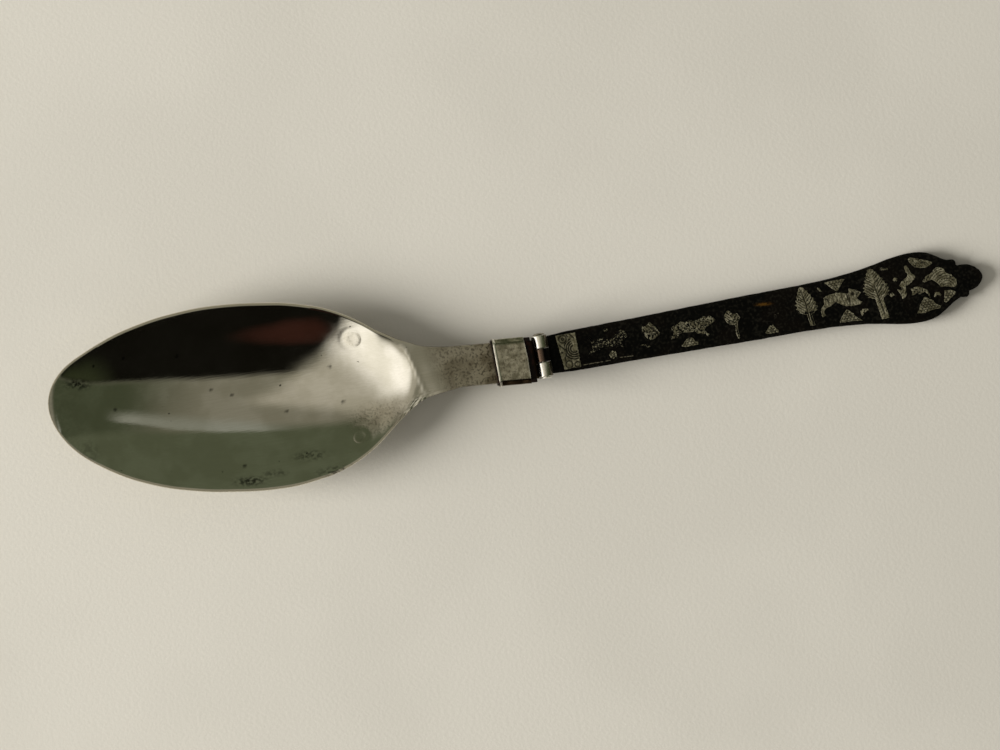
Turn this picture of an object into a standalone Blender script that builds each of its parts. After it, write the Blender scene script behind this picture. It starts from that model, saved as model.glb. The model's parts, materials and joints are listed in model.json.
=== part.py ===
"""A folding spoon: a bowl on a flat stub, a riveted strap, a sliding collar and an inlaid iron handle.

Lengths are in metres. The spoon is laid out round its hinge: the hinge axis is Y through the origin, the
handle runs along +X, and the stem of the bowl runs back along -X, turned aside by the stem's yaw. A station
is the distance from the bowl's tip, measured along the stem. Last of all the whole spoon is tilted until its
belly and the back of its handle lie on the table, and the middle of its footprint is moved to the origin.
"""

import math
from collections import namedtuple

import bmesh
import bpy
import numpy as np
from mathutils import Vector

MM = 0.001

# Whole spoon
HANDLE_LENGTH = 85.7 * MM
HOLLOW_LENGTH = 70.4 * MM
STEM_LENGTH = 24.2 * MM
STEM_YAW = math.radians(5.1)

# Clearances
SEAT_GAP = 0.1 * MM
ARM_GAP = 0.2 * MM
RUNNING_GAP = 0.05 * MM
KNUCKLE_GAP = 0.12 * MM
FOLD_GAP = 0.15 * MM
COLLAR_GAP = 0.12 * MM
SLOT_GAP = 0.08 * MM
SHOULDER_GAP = 0.35 * MM
OVERRUN = 1.0 * MM

# Hinge barrel and its pin
KNUCKLE_RADIUS = 1.45 * MM
BARREL_LENGTH = 7.9 * MM
MIDDLE_KNUCKLE_LENGTH = 2.6 * MM
MIDDLE_KNUCKLE_OFFSET = 0.14 * MM
LUG_RETURN = 0.2 * MM
PIN_RADIUS = 0.6 * MM
PIN_HEAD_RADIUS = 1.15 * MM
PIN_HEAD_HEIGHT = 0.4 * MM
PIN_FOOT_HEIGHT = 0.25 * MM

# Collar: iron sleeve inside, silver jacket outside
SLEEVE_WALL = 0.28 * MM
JACKET_WALL = 0.22 * MM
JACKET_SEAT = 0.03 * MM
COLLAR_LENGTH = 7.5 * MM
JACKET_LENGTH = 6.1 * MM
SLEEVE_TAIL = 0.25 * MM
COLLAR_TOP_CHAMFER = 0.95 * MM
COLLAR_FOOT_CHAMFER = 0.5 * MM
SLOT_CHAMFER = 0.12 * MM
END_WALL = 0.5 * MM
ROLLED_EDGE = 0.55 * MM
ROLLED_RISE = 0.12 * MM

# Bowl and stub
BOWL_HALF_WIDTH = 17.9 * MM
BOWL_DEPTH = 7.6 * MM
BOWL_SHEET = 0.8 * MM
BOWL_SWAY = 2.8 * MM
RIM_WIDTH = 0.45 * MM
RIM_EDGE = 0.45 * MM
STUB_HALF_WIDTH = 3.82 * MM
STUB_THICKNESS = 1.0 * MM

# Hinge strap under the stub and the bowl's heel
STRAP_THICKNESS = 0.95 * MM
STRAP_HALF_WIDTH = 3.7 * MM
ARM_THICKNESS = 0.8 * MM
RIVET_SETBACK = 11.5 * MM
RIVET_SPREAD_SHARE = 0.522
ARM_END_MARGIN = 2.2 * MM

# Bowl rivets
RIVET_HEAD_RADIUS = 1.8 * MM
RIVET_HEAD_HEIGHT = 0.35 * MM
RIVET_HEAD_PROUD = 0.08 * MM
RIVET_SHANK_RADIUS = 0.8 * MM
RIVET_TAIL_RADIUS = 1.5 * MM
RIVET_TAIL_HEIGHT = 0.5 * MM

# Handle and its inlays
HANDLE_BREADTH = 13.4 * MM
HANDLE_THICKNESS = 1.8 * MM
HANDLE_BEVEL = 0.2 * MM
HANDLE_ROOT_GAP = 0.12 * MM
INLAY_THICKNESS = 0.5 * MM
FINIAL_SKEW = 0.5 * MM

# Heights, worked out from the hinge axis down
SLEEVE_TOP = KNUCKLE_RADIUS + COLLAR_GAP + SLEEVE_WALL
COLLAR_TOP = SLEEVE_TOP + JACKET_SEAT + JACKET_WALL
HANDLE_TOP = -(COLLAR_TOP + FOLD_GAP)
HANDLE_BACK = HANDLE_TOP - HANDLE_THICKNESS
STRAP_TOP = HANDLE_BACK + STRAP_THICKNESS
STUB_TOP = STRAP_TOP + SEAT_GAP + STUB_THICKNESS
SLEEVE_FOOT = HANDLE_BACK - COLLAR_GAP - SLEEVE_WALL
COLLAR_FOOT = SLEEVE_FOOT - JACKET_SEAT - JACKET_WALL

# The collar's half width, worked out from the barrel in front of it, and how far each wall lies inside it
SLEEVE_INSET = JACKET_WALL + JACKET_SEAT
BORE_INSET = SLEEVE_INSET + SLEEVE_WALL
COLLAR_HALF_WIDTH = BARREL_LENGTH / 2 + COLLAR_GAP + BORE_INSET

# Places along X of the hinge end of the stub and of the collar
COLLAR_FRONT = -(KNUCKLE_RADIUS + SHOULDER_GAP)
COLLAR_REAR = COLLAR_FRONT - COLLAR_LENGTH
STUB_END = COLLAR_FRONT
STRAP_END = -KNUCKLE_RADIUS / 2

# Outline of the bowl: stations as shares of the hollow's length, half widths as shares of the bowl's
BOWL_STATION_SHARES = (0, 0.056, 0.114, 0.228, 0.341, 0.455, 0.54, 0.626, 0.739, 0.797, 0.853, 0.911, 0.967)
BOWL_WIDTH_SHARES = (0, 0.437, 0.598, 0.811, 0.931, 0.989, 1.0, 0.986, 0.907, 0.826, 0.707, 0.54, 0.385)
# The neck goes on as shares of the stem's length and of the stub's half width, and the collar slides where
# the stub is no wider than the collar's slot
SLOT_WIDTH_SHARE = 1.02
NECK_STATION_SHARES = (0.074, 0.238, 0.36, 1.0)
NECK_WIDTH_SHARES = (1.28, 1.1, SLOT_WIDTH_SHARE, 1.0)
# How far the bowl's middle line sways aside, as shares of the sway, in the hollow and then along the stem
SWAY_BOWL_STATION_SHARES = (0, 0.114, 0.282, 0.457, 0.632, 0.806, 0.887, 0.941)
SWAY_STEM_STATION_SHARES = (0.023, 0.219, 0.376, 1.0)
SWAY_SHARES = (0.34, 0.68, 0.82, 0.88, 1.0, 0.98, 0.9, 0.64, 0.36, 0.27, 0.18, 0.18)
# Where the thin rim starts to thicken, as a share of the hollow, and where it is the full stub, of the stem
NECK_START_SHARE = 0.887
NECK_END_SHARE = 0.14
# Bend of the bowl's floor: how much its long section and its cross section steepen towards the edge, how far
# the heel's crest curves back at the sides, and how softly the floor runs out at both ends
LONG_STEEPNESS_SHARE = 0.3
CROSS_STEEPNESS_SHARE = 0.1
HEEL_CURVE_SHARE = 0.03
SOFT_SHARE = 0.1

# Stations along the stem, and the places of the rivets
BOWL_REACH = HOLLOW_LENGTH + STEM_LENGTH
NECK_START = NECK_START_SHARE * HOLLOW_LENGTH
NECK_END = HOLLOW_LENGTH + NECK_END_SHARE * STEM_LENGTH
RIVET_STATION = HOLLOW_LENGTH - RIVET_SETBACK
RIVET_SPREAD = RIVET_SPREAD_SHARE * BOWL_HALF_WIDTH
ARM_LENGTH = RIVET_SETBACK + ARM_END_MARGIN

# Edges of a strap arm, from the heel to its round end, as shares of the arm's length and the rivet's spread
ARM_STATION_SHARES = (0, 0.29, 0.58, 0.84, 0.95, 1.0)
ARM_OUTER_SHARES = (0.396, 0.76, 1.08, 1.22, 1.17, 1.03)
ARM_INNER_SHARES = (0, 0.34, 0.66, 0.8, 0.86, 0.97)

# Half outline of the handle, as shares of its length and of half its breadth
HANDLE_STATION_SHARES = (
    0.0665, 0.2, 0.39, 0.492, 0.583, 0.663, 0.727, 0.771, 0.795, 0.82, 0.84, 0.856, 0.872, 0.886, 0.901,
    0.916, 0.928, 0.939, 0.952, 0.9525, 0.967, 0.979, 0.987, 0.995, 1.0,
)
HANDLE_WIDTH_SHARES = (
    0.582, 0.597, 0.636, 0.657, 0.657, 0.694, 0.776, 0.873, 0.94, 0.985, 1.0, 1.0, 0.975, 0.925, 0.821,
    0.687, 0.597, 0.56, 0.507, 0.418, 0.373, 0.31, 0.239, 0.12, 0,
)
HANDLE_ROOT_SHARE = 0.545
SHOULDER_INDEX = HANDLE_STATION_SHARES.index(0.952)
# Where the outline starts to skew towards the finial, and where it is skewed in full
SKEW_START_SHARE = 0.9
SKEW_END_SHARE = 0.95

# How far the rolled edge's crest lies in from its two sides, and the least share of the width inside the rim
ROLLED_CREST_SHARE = 0.25
RIM_LEAST_SHARE = 0.5

# Counts of steps, rows and columns, and how the rows crowd together
ROUND_STEPS = 24
KNUCKLE_STEPS = 18
DOME_STEPS = 4
TIP_ROWS = 6
FLOOR_ROWS = 15
HEEL_ROWS = 9
STUB_ROWS = 6
BOWL_COLUMNS = 16
ARM_ROWS = 12
ARM_LANES = 5
SETTLE_ROUNDS = 8
TIP_SHARE = 0.12
CROWD_POWER = 2
ARM_ROW_POWER = 0.8

# Mesh work: points closer than the weld are one, slopes are taken over a small step, and an outline's mitre
# is limited. Faces that meet at less than the smooth angle are shaded round.
WELD = BOWL_REACH * 1e-6
SLOPE_STEP = RIM_WIDTH * 0.1
MITRE_LIMIT_SHARE = 0.5
SMOOTH_ANGLE = math.radians(35)
EDGE_ANGLE = math.radians(70)

# Metals: colour, roughness and how metallic each is
Finish = namedtuple("Finish", "colour roughness metallic")
FINISHES = {
    "tinned_metal": Finish((0.42, 0.4, 0.34), 0.28, 1.0),
    "silver": Finish((0.6, 0.57, 0.47), 0.32, 1.0),
    "dark_iron": Finish((0.035, 0.022, 0.014), 0.55, 0.7),
    "blackened_iron": Finish((0.01, 0.009, 0.008), 0.5, 0.6),
    "inlaid_silver": Finish((0.38, 0.35, 0.25), 0.4, 1.0),
}

# Motif outlines, as shares of each motif's own length and width
BAND_SHARES = ((0.5, -0.5), (0.5, 0.5), (-0.5, 0.5), (-0.33, -0.5))
RUNNING_HARE_SHARES = (
    (-0.39, 0.28), (-0.3, 0.35), (-0.07, 0.41), (0.08, 0.35), (0.21, 0.27), (0.24, 0.5), (0.33, 0.42),
    (0.42, 0.36), (0.5, 0.25), (0.46, 0.12), (0.38, 0.03), (0.42, -0.06), (0.5, -0.16), (0.43, -0.25),
    (0.26, -0.27), (0.08, -0.2), (-0.01, -0.1), (-0.12, 0.03), (-0.24, -0.1), (-0.38, -0.17), (-0.43, -0.29),
    (-0.4, -0.46), (-0.49, -0.5), (-0.5, -0.29), (-0.48, -0.14), (-0.39, 0.02),
)
RUNNING_HOUND_SHARES = (
    (-0.46, 0.19), (-0.41, 0.29), (-0.32, 0.33), (-0.24, 0.44), (-0.15, 0.35), (-0.05, 0.45), (0.1, 0.35),
    (0.19, 0.42), (0.26, 0.5), (0.32, 0.44), (0.39, 0.48), (0.5, 0.21), (0.39, 0.05), (0.26, -0.08),
    (0.23, -0.2), (0.32, -0.45), (0.28, -0.5), (0.22, -0.38), (0.11, -0.35), (0.04, -0.17), (-0.09, -0.17),
    (-0.24, -0.1), (-0.31, -0.18), (-0.36, -0.32), (-0.5, -0.34), (-0.43, -0.13), (-0.41, 0.02),
)
RUNNING_FOX_SHARES = (
    (-0.42, 0.37), (-0.36, 0.22), (-0.29, 0.11), (-0.2, 0.17), (-0.07, 0.2), (0.06, 0.08), (0.16, 0.08),
    (0.21, 0.26), (0.3, 0.5), (0.37, 0.38), (0.5, 0.26), (0.47, 0.05), (0.36, -0.1), (0.26, -0.13),
    (0.36, -0.28), (0.36, -0.4), (0.21, -0.4), (0.09, -0.28), (-0.04, -0.25), (-0.16, -0.25), (-0.24, -0.4),
    (-0.37, -0.4), (-0.5, -0.5), (-0.47, -0.34), (-0.38, -0.25), (-0.36, -0.04),
)
SMALL_BEAST_SHARES = (
    (-0.5, 0.36), (-0.34, 0.48), (-0.07, 0.5), (0.16, 0.3), (0.34, 0.14), (0.44, -0.2), (0.45, -0.48),
    (0.35, -0.22), (0.2, 0.03), (0.06, -0.05), (-0.07, -0.12), (-0.19, 0.05), (-0.37, -0.07), (-0.5, -0.07),
    (-0.45, 0.14),
)
CRESCENT_BEAST_SHARES = (
    (-0.5, -0.02), (-0.4, 0.17), (-0.2, 0.29), (-0.11, 0.43), (-0.01, 0.5), (0.12, 0.44), (0.19, 0.35),
    (0.2, 0.21), (0.28, 0.12), (0.37, 0.06), (0.5, -0.21), (0.47, -0.5), (0.33, -0.5), (0.17, -0.43),
    (0.08, -0.39), (0.03, -0.44), (-0.04, -0.28), (-0.12, -0.12), (-0.22, -0.01), (-0.33, -0.02),
    (-0.44, -0.08),
)
BIRD_SHARES = (
    (0.03, 0.42), (0.1, 0.5), (0.19, 0.48), (0.25, 0.36), (0.34, 0.23), (0.5, 0.14), (0.48, 0.07),
    (0.28, -0.03), (0.1, -0.1), (-0.03, -0.11), (-0.08, -0.24), (-0.05, -0.36), (-0.15, -0.44), (-0.3, -0.5),
    (-0.33, -0.41), (-0.39, -0.29), (-0.5, -0.18), (-0.42, -0.17), (-0.26, -0.23), (-0.27, -0.13),
    (-0.35, -0.07), (-0.27, 0.01), (-0.06, 0.09), (0.1, 0.15), (0.15, 0.22), (0.06, 0.3),
)
MOON_SHARES = (
    (-0.5, 0.43), (-0.39, 0.5), (-0.09, 0.33), (0.23, 0.1), (0.5, -0.13), (0.49, -0.27), (0.36, -0.38),
    (0.23, -0.5), (-0.04, -0.47), (-0.26, -0.32), (-0.39, -0.07), (-0.49, 0.2),
)
NEAR_TREE_SHARES = (
    (-0.5, 0.27), (-0.35, 0.43), (-0.15, 0.5), (0.1, 0.34), (0.37, 0.34), (0.5, 0.19), (0.31, 0.03),
    (0.25, -0.2), (0.29, -0.5), (0.13, -0.5), (0.08, -0.25), (0.1, -0.02), (-0.19, 0), (-0.38, 0.11),
)
BUD_SHARES = (
    (-0.5, 0.13), (-0.43, 0.36), (-0.24, 0.32), (0, 0.5), (0.28, 0.17), (0.5, -0.23), (0.1, -0.45),
    (-0.07, -0.5), (-0.33, -0.31),
)
ROUND_MOUND_SHARES = (
    (-0.5, -0.31), (-0.32, 0.06), (-0.13, 0.45), (0.2, 0.5), (0.34, 0), (0.5, -0.2), (0.48, -0.48),
    (-0.27, -0.5),
)
FAR_MOUND_SHARES = (
    (-0.1, 0.5), (0.08, 0.22), (0.23, -0.13), (0.5, -0.5), (-0.01, -0.41), (-0.5, -0.37), (-0.45, -0.09),
    (-0.27, 0.26),
)
END_MOUND_SHARES = (
    (-0.5, -0.43), (-0.38, -0.2), (-0.33, 0.02), (-0.15, 0.37), (-0.08, 0.5), (0.07, 0.33), (0.22, 0.18),
    (0.31, -0.05), (0.5, -0.24), (0.44, -0.36), (0.09, -0.39), (-0.15, -0.5),
)
HANGING_TRIANGLE_SHARES = ((-0.5, 0.46), (0, 0.5), (0.5, 0.46), (0.29, 0.02), (0.05, -0.5), (-0.22, -0.08))
END_TRIANGLE_SHARES = (
    (-0.3, 0.5), (0.18, 0.46), (0.5, 0.27), (0.48, 0.09), (0.13, -0.16), (-0.3, -0.5), (-0.5, -0.44),
    (-0.4, 0.07),
)
ARCH_SHARES = (
    (-0.5, -0.44), (-0.26, 0.5), (0.19, 0.5), (0.5, -0.31), (0.33, -0.41), (-0.02, -0.09), (-0.29, -0.5),
)
LEAF_SHARES = ((-0.5, 0.29), (-0.1, 0.5), (0.5, -0.5), (0.03, -0.39))
CURL_SHARES = ((-0.5, 0.09), (-0.24, 0.5), (0.34, 0.5), (0.5, 0.09), (-0.05, -0.09), (-0.37, -0.5))
WISP_SHARES = (
    (-0.5, 0.4), (-0.02, 0.5), (0.35, 0.08), (0.5, -0.5), (0.35, -0.47), (-0.02, 0.01), (-0.47, 0.08),
)
SPRIG_SHARES = ((-0.5, 0.08), (-0.28, 0.5), (0.43, 0.17), (0.5, -0.5), (0.09, -0.33), (-0.43, -0.28))
SHOOT_SHARES = ((-0.5, -0.17), (-0.17, 0.5), (0.22, 0.32), (0.5, -0.17), (-0.11, -0.5))
BERRY_SHARES = ((-0.5, 0.03), (-0.03, 0.5), (0.5, 0.17), (0.43, -0.37), (-0.23, -0.5))
DOT_SHARES = ((-0.5, 0.5), (0.5, 0.5), (0.27, -0.44), (-0.25, -0.5))

# A tree: the teeth up each side of its crown, how far its top leans, the trunk's width and the crown's foot
Tree = namedtuple("Tree", "teeth lean_share trunk_share crown_foot_share")
CROWN_HEIGHT_SHARES = (0, 0.12, 0.27, 0.45, 0.65, 0.85, 1.0)
CROWN_WIDTH_SHARES = (0.45, 0.86, 1.0, 0.9, 0.68, 0.42, 0.14)
TOOTH_DEPTH_SHARE = 0.13
TOOTH_RISE_SHARE = 0.6
# A round flower: its petals, and how deep the notches between them are
Flower = namedtuple("Flower", "petals")
PETAL_NOTCH_SHARE = 0.22

# Each inlay: its outline, then the place of its middle and its size, as shares of the handle's length (along)
# and breadth (across)
Inlay = namedtuple("Inlay", "outline along_share across_share long_share wide_share")
INLAY_SHARES = {
    "inlay_scroll_band": Inlay(BAND_SHARES, 0.06, 0.0, 0.0455, 0.5),
    "inlay_near_beast": Inlay(RUNNING_FOX_SHARES, 0.15, 0.043, 0.0976, 0.3),
    "inlay_flower": Inlay(Flower(8), 0.1575, -0.16, 0.02, 0.128),
    "inlay_dot": Inlay(DOT_SHARES, 0.15, 0.198, 0.011, 0.043),
    "inlay_wisp": Inlay(WISP_SHARES, 0.231, -0.128, 0.023, 0.07),
    "inlay_bud": Inlay(BUD_SHARES, 0.25, 0.071, 0.04, 0.261),
    "inlay_middle_beast": Inlay(RUNNING_HOUND_SHARES, 0.343, 0.001, 0.106, 0.288),
    "inlay_near_mound": Inlay(ROUND_MOUND_SHARES, 0.33, -0.183, 0.039, 0.119),
    "inlay_near_tree": Inlay(NEAR_TREE_SHARES, 0.4327, -0.048, 0.036, 0.428),
    "inlay_middle_mound": Inlay(ROUND_MOUND_SHARES, 0.515, -0.216, 0.03, 0.118),
    "inlay_middle_tree": Inlay(Tree(7, -0.27, 0.24, -0.2), 0.6014, 0.017, 0.046, 0.571),
    "inlay_leaf": Inlay(LEAF_SHARES, 0.636, 0.216, 0.0105, 0.085),
    "inlay_hanging_triangle": Inlay(HANGING_TRIANGLE_SHARES, 0.672, 0.23, 0.0467, 0.165),
    "inlay_far_beast": Inlay(RUNNING_HARE_SHARES, 0.678, -0.007, 0.0948, 0.343),
    "inlay_far_mound": Inlay(FAR_MOUND_SHARES, 0.694, -0.226, 0.051, 0.2),
    "inlay_curl": Inlay(CURL_SHARES, 0.727, -0.214, 0.0216, 0.098),
    "inlay_great_tree": Inlay(Tree(9, -0.3, 0.33, -0.09), 0.7624, 0.011, 0.0537, 0.739),
    "inlay_sprig": Inlay(SPRIG_SHARES, 0.7854, 0.343, 0.0188, 0.0535),
    "inlay_shoot": Inlay(SHOOT_SHARES, 0.7935, -0.039, 0.0115, 0.073),
    "inlay_berry": Inlay(BERRY_SHARES, 0.806, 0.165, 0.0105, 0.067),
    "inlay_bird": Inlay(BIRD_SHARES, 0.829, 0.103, 0.0455, 0.475),
    "inlay_half_moon": Inlay(MOON_SHARES, 0.8683, 0.344, 0.0516, 0.18),
    "inlay_small_beast": Inlay(SMALL_BEAST_SHARES, 0.858, -0.087, 0.0425, 0.196),
    "inlay_end_mound": Inlay(END_MOUND_SHARES, 0.869, -0.267, 0.0564, 0.234),
    "inlay_arch": Inlay(ARCH_SHARES, 0.8935, -0.149, 0.0185, 0.071),
    "inlay_crescent_beast": Inlay(CRESCENT_BEAST_SHARES, 0.9035, 0.073, 0.076, 0.321),
    "inlay_end_triangle": Inlay(END_TRIANGLE_SHARES, 0.9195, -0.202, 0.0286, 0.1756),
}


def clear_scene():
    """Removes every object of the open scene."""
    for old in list(bpy.data.objects):
        bpy.data.objects.remove(old, do_unlink=True)


def metal(name):
    """The Principled metal of that name among the finishes."""
    finish = FINISHES[name]
    material = bpy.data.materials.new(name)
    material.use_nodes = True
    shader = material.node_tree.nodes["Principled BSDF"]
    shader.inputs["Base Color"].default_value = (*finish.colour, 1.0)
    shader.inputs["Roughness"].default_value = finish.roughness
    shader.inputs["Metallic"].default_value = finish.metallic
    return material


def empty(name, parent=None):
    """An empty that carries other pieces."""
    carrier = bpy.data.objects.new(name, None)
    bpy.context.scene.collection.objects.link(carrier)
    carrier.parent = parent
    return carrier


def solid(name, points, faces, parent, material=None):
    """A closed mesh object: doubled points become one, and every face is turned outwards."""
    mesh = bpy.data.meshes.new(name)
    mesh.from_pydata([tuple(point) for point in points], [], faces)
    work = bmesh.new()
    work.from_mesh(mesh)
    bmesh.ops.remove_doubles(work, verts=work.verts, dist=WELD)
    bmesh.ops.recalc_face_normals(work, faces=work.faces)
    work.to_mesh(mesh)
    work.free()
    mesh.shade_smooth()
    mesh.set_sharp_from_angle(angle=SMOOTH_ANGLE)
    piece = bpy.data.objects.new(name, mesh)
    bpy.context.scene.collection.objects.link(piece)
    piece.parent = parent
    if material:
        mesh.materials.append(material)
    return piece


def helper(piece):
    """Marks a piece as a shape that only cuts or joins another."""
    piece.hide_render = True
    piece.display_type = "WIRE"
    return piece


def combine(piece, other, operation):
    """Adds a Boolean of the piece with a helper."""
    change = piece.modifiers.new(other.name, "BOOLEAN")
    change.object = other
    change.operation = operation
    change.solver = "EXACT"


def smooth_curve(stations, values, at):
    """A cubic through the given values that never overshoots them."""
    stations = np.asarray(stations, float)
    values = np.asarray(values, float)
    steps = np.diff(stations)
    rises = np.diff(values) / steps
    same_way = rises[:-1] * rises[1:] > 0
    mean = 2 * rises[:-1] * rises[1:] / np.where(same_way, rises[:-1] + rises[1:], 1)
    slopes = np.concatenate([rises[:1], np.where(same_way, mean, 0), rises[-1:]])
    at = np.clip(at, stations[0], stations[-1])
    span = np.clip(np.searchsorted(stations, at) - 1, 0, len(steps) - 1)
    t = (at - stations[span]) / steps[span]
    start = values[span] * (1 + 2 * t) + slopes[span] * steps[span] * t
    end = values[span + 1] * (3 - 2 * t) - slopes[span + 1] * steps[span] * (1 - t)
    return start * (1 - t) ** 2 + end * t**2


def ease(share):
    """Goes from 0 to 1 with level ends."""
    share = np.clip(share, 0, 1)
    return share * share * (3 - 2 * share)


def stations_at(bowl_shares, stem_shares):
    """Stations from shares of the hollow's length, and past its heel from shares of the stem's length."""
    in_bowl = np.multiply(bowl_shares, HOLLOW_LENGTH)
    on_stem = HOLLOW_LENGTH + np.multiply(stem_shares, STEM_LENGTH)
    return np.concatenate([in_bowl, on_stem])


def half_width(station):
    """Half the outline's width: the squares are smoothed, so that the tip comes out round."""
    stations = stations_at(BOWL_STATION_SHARES, NECK_STATION_SHARES)
    widths = [share * BOWL_HALF_WIDTH for share in BOWL_WIDTH_SHARES]
    widths += [share * STUB_HALF_WIDTH for share in NECK_WIDTH_SHARES]
    return np.sqrt(smooth_curve(stations, np.square(widths), station))


def middle_line(station):
    """Distance of the outline's middle from the stem's axis, to the side where it sways."""
    stations = stations_at(SWAY_BOWL_STATION_SHARES, SWAY_STEM_STATION_SHARES)
    return -BOWL_SWAY * smooth_curve(stations, SWAY_SHARES, station)


def neck_share(station):
    """0 in the bowl, 1 in the stub."""
    return ease((station - NECK_START) / (NECK_END - NECK_START))


def squareness(station):
    """0 in the bowl, 1 at the hinge, where rows run parallel to the hinge axis."""
    return ease((station - NECK_START) / (BOWL_REACH - NECK_START))


def rise(distance, steepness):
    """A parabola from 0 in the middle to 1 at the edge, steeper near the edge by a quartic's share."""
    return (1 - steepness) * distance**2 + steepness * distance**4


def hollow(station, across, inset):
    """Depth share of the bowl's floor, from 0 at an edge set in by inset to 1 at the deepest point."""
    reach = np.maximum(half_width(station) - inset, RIM_WIDTH)
    side = np.clip(np.abs(across - middle_line(station)) / reach, 0, 1)
    length = HOLLOW_LENGTH * (1 - HEEL_CURVE_SHARE * side**2) - inset
    along = np.clip((station - inset) / length, 0, 1)
    floor = 1 - rise(2 * along - 1, LONG_STEEPNESS_SHARE)
    soft = (np.sqrt(floor**2 + SOFT_SHARE**2) - SOFT_SHARE) / (math.sqrt(1 + SOFT_SHARE**2) - SOFT_SHARE)
    return soft * (1 - rise(side, CROSS_STEEPNESS_SHARE))


def bowl_top(station, across):
    """Height of the upper surface: a flat rim round the hollow, and the flat top of the stub."""
    return STUB_TOP - BOWL_DEPTH * hollow(station, across, RIM_WIDTH)


def bowl_underside(station, across):
    """Height of the lower surface: a thin edge at the rim, full sheet at the belly and under the stub."""
    edge = RIM_EDGE + (STUB_THICKNESS - RIM_EDGE) * neck_share(station)
    return STUB_TOP - edge - (BOWL_DEPTH + BOWL_SHEET - edge) * hollow(station, across, 0)


def slope(surface, station, across):
    """Rise of a surface of the bowl along the stem and across it."""
    step = SLOPE_STEP
    along = (surface(station + step, across) - surface(station - step, across)) / (2 * step)
    aside = (surface(station, across + step) - surface(station, across - step)) / (2 * step)
    return along, aside


def stem_points(station, across, height, square=0):
    """Places in the stem's frame. A square of 1 turns a row parallel to the hinge axis."""
    along = station - BOWL_REACH - square * across * math.tan(STEM_YAW)
    return np.stack(np.broadcast_arrays(along, across, height), axis=-1)


def thick_sheet(name, top, bottom, quads, parent, material):
    """A solid between two sheets of the same faces, walled in along their free edges."""
    count = len(top)
    edges = {}
    for quad in quads:
        for start, end in zip(quad, quad[1:] + quad[:1]):
            edges[(start, end)] = True
    walls = [(a, b, b + count, a + count) for a, b in edges if (b, a) not in edges]
    faces = list(quads) + [tuple(corner + count for corner in reversed(quad)) for quad in quads] + walls
    return solid(name, np.concatenate([top, bottom]), faces, parent, material)


def grid_quads(rows, columns):
    """Faces of a grid whose points are stored row by row."""
    corners = [row * columns + column for row in range(rows - 1) for column in range(columns - 1)]
    return [(corner, corner + 1, corner + columns + 1, corner + columns) for corner in corners]


def loops_solid(name, loops, parent, material=None, ring=False):
    """A solid through a run of loops with as many points each: capped at its ends, or closed into a ring."""
    loops = np.asarray(loops)
    count, size = loops.shape[:2]
    faces = []
    for loop in range(count if ring else count - 1):
        here = loop * size
        there = (loop + 1) % count * size
        for point in range(size):
            after = (point + 1) % size
            faces.append((here + point, here + after, there + after, there + point))
    if not ring:
        faces.append(tuple(range(size)))
        faces.append(tuple(reversed(range((count - 1) * size, count * size))))
    return solid(name, loops.reshape(-1, 3), faces, parent, material)


def turned(name, profile, parent, material=None):
    """A turned piece along Z from its profile of radii and heights."""
    angles = np.arange(ROUND_STEPS) * 2 * math.pi / ROUND_STEPS
    loops = [
        np.stack([radius * np.cos(angles), radius * np.sin(angles), np.full(ROUND_STEPS, height)], axis=-1)
        for radius, height in profile
    ]
    return loops_solid(name, loops, parent, material)


def dome(radius, base, height):
    """Profile of a domed head, from its base edge to near its top."""
    angles = np.linspace(0, math.pi / 2, DOME_STEPS + 1, endpoint=False)
    return [(radius * math.cos(angle), base + height * math.sin(angle)) for angle in angles]


def prism(name, outline, low, high, parent, axis, material=None):
    """A flat outline pushed out along Y or Z, from low to high."""
    outline = np.asarray(outline)
    loops = []
    for level in (low, high):
        column = np.full(len(outline), level)
        first, second = outline.T
        order = [first, column, second] if axis == "Y" else [first, second, column]
        loops.append(np.stack(order, axis=-1))
    return loops_solid(name, loops, parent, material)


def bowl_rows():
    """Stations of the bowl's rows: close together at the round tip and at the heel."""
    tip_end = TIP_SHARE * HOLLOW_LENGTH
    tip = tip_end * (np.arange(TIP_ROWS) / TIP_ROWS) ** CROWD_POWER
    floor = np.linspace(tip_end, NECK_START, FLOOR_ROWS, endpoint=False)
    heel = np.linspace(NECK_START, NECK_END, HEEL_ROWS, endpoint=False)
    stub = NECK_END + (BOWL_REACH + STUB_END - NECK_END) * np.linspace(0, 1, STUB_ROWS) ** CROWD_POWER
    return np.concatenate([tip, floor, heel, stub])


def build_bowl(stem, material):
    """The bowl and its stub, one sheet: a grid of rows across the stem, with a flat rim along both sides."""
    station = bowl_rows()[:, None]
    width = half_width(station)
    rim = np.clip(1 - RIM_WIDTH / np.maximum(width, RIM_WIDTH), RIM_LEAST_SHARE, 1)
    inner = np.sin(np.linspace(-math.pi / 2, math.pi / 2, BOWL_COLUMNS + 1))[None, :] * rim
    side = np.ones_like(rim)
    share = np.concatenate([-side, inner, side], axis=1)
    across = middle_line(station) + share * width
    square = squareness(station)
    top = stem_points(station, across, bowl_top(station, across), square)
    bottom = stem_points(station, across, bowl_underside(station, across), square)
    rows, columns = share.shape
    quads = grid_quads(rows, columns)
    return thick_sheet("bowl", top.reshape(-1, 3), bottom.reshape(-1, 3), quads, stem, material)


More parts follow.
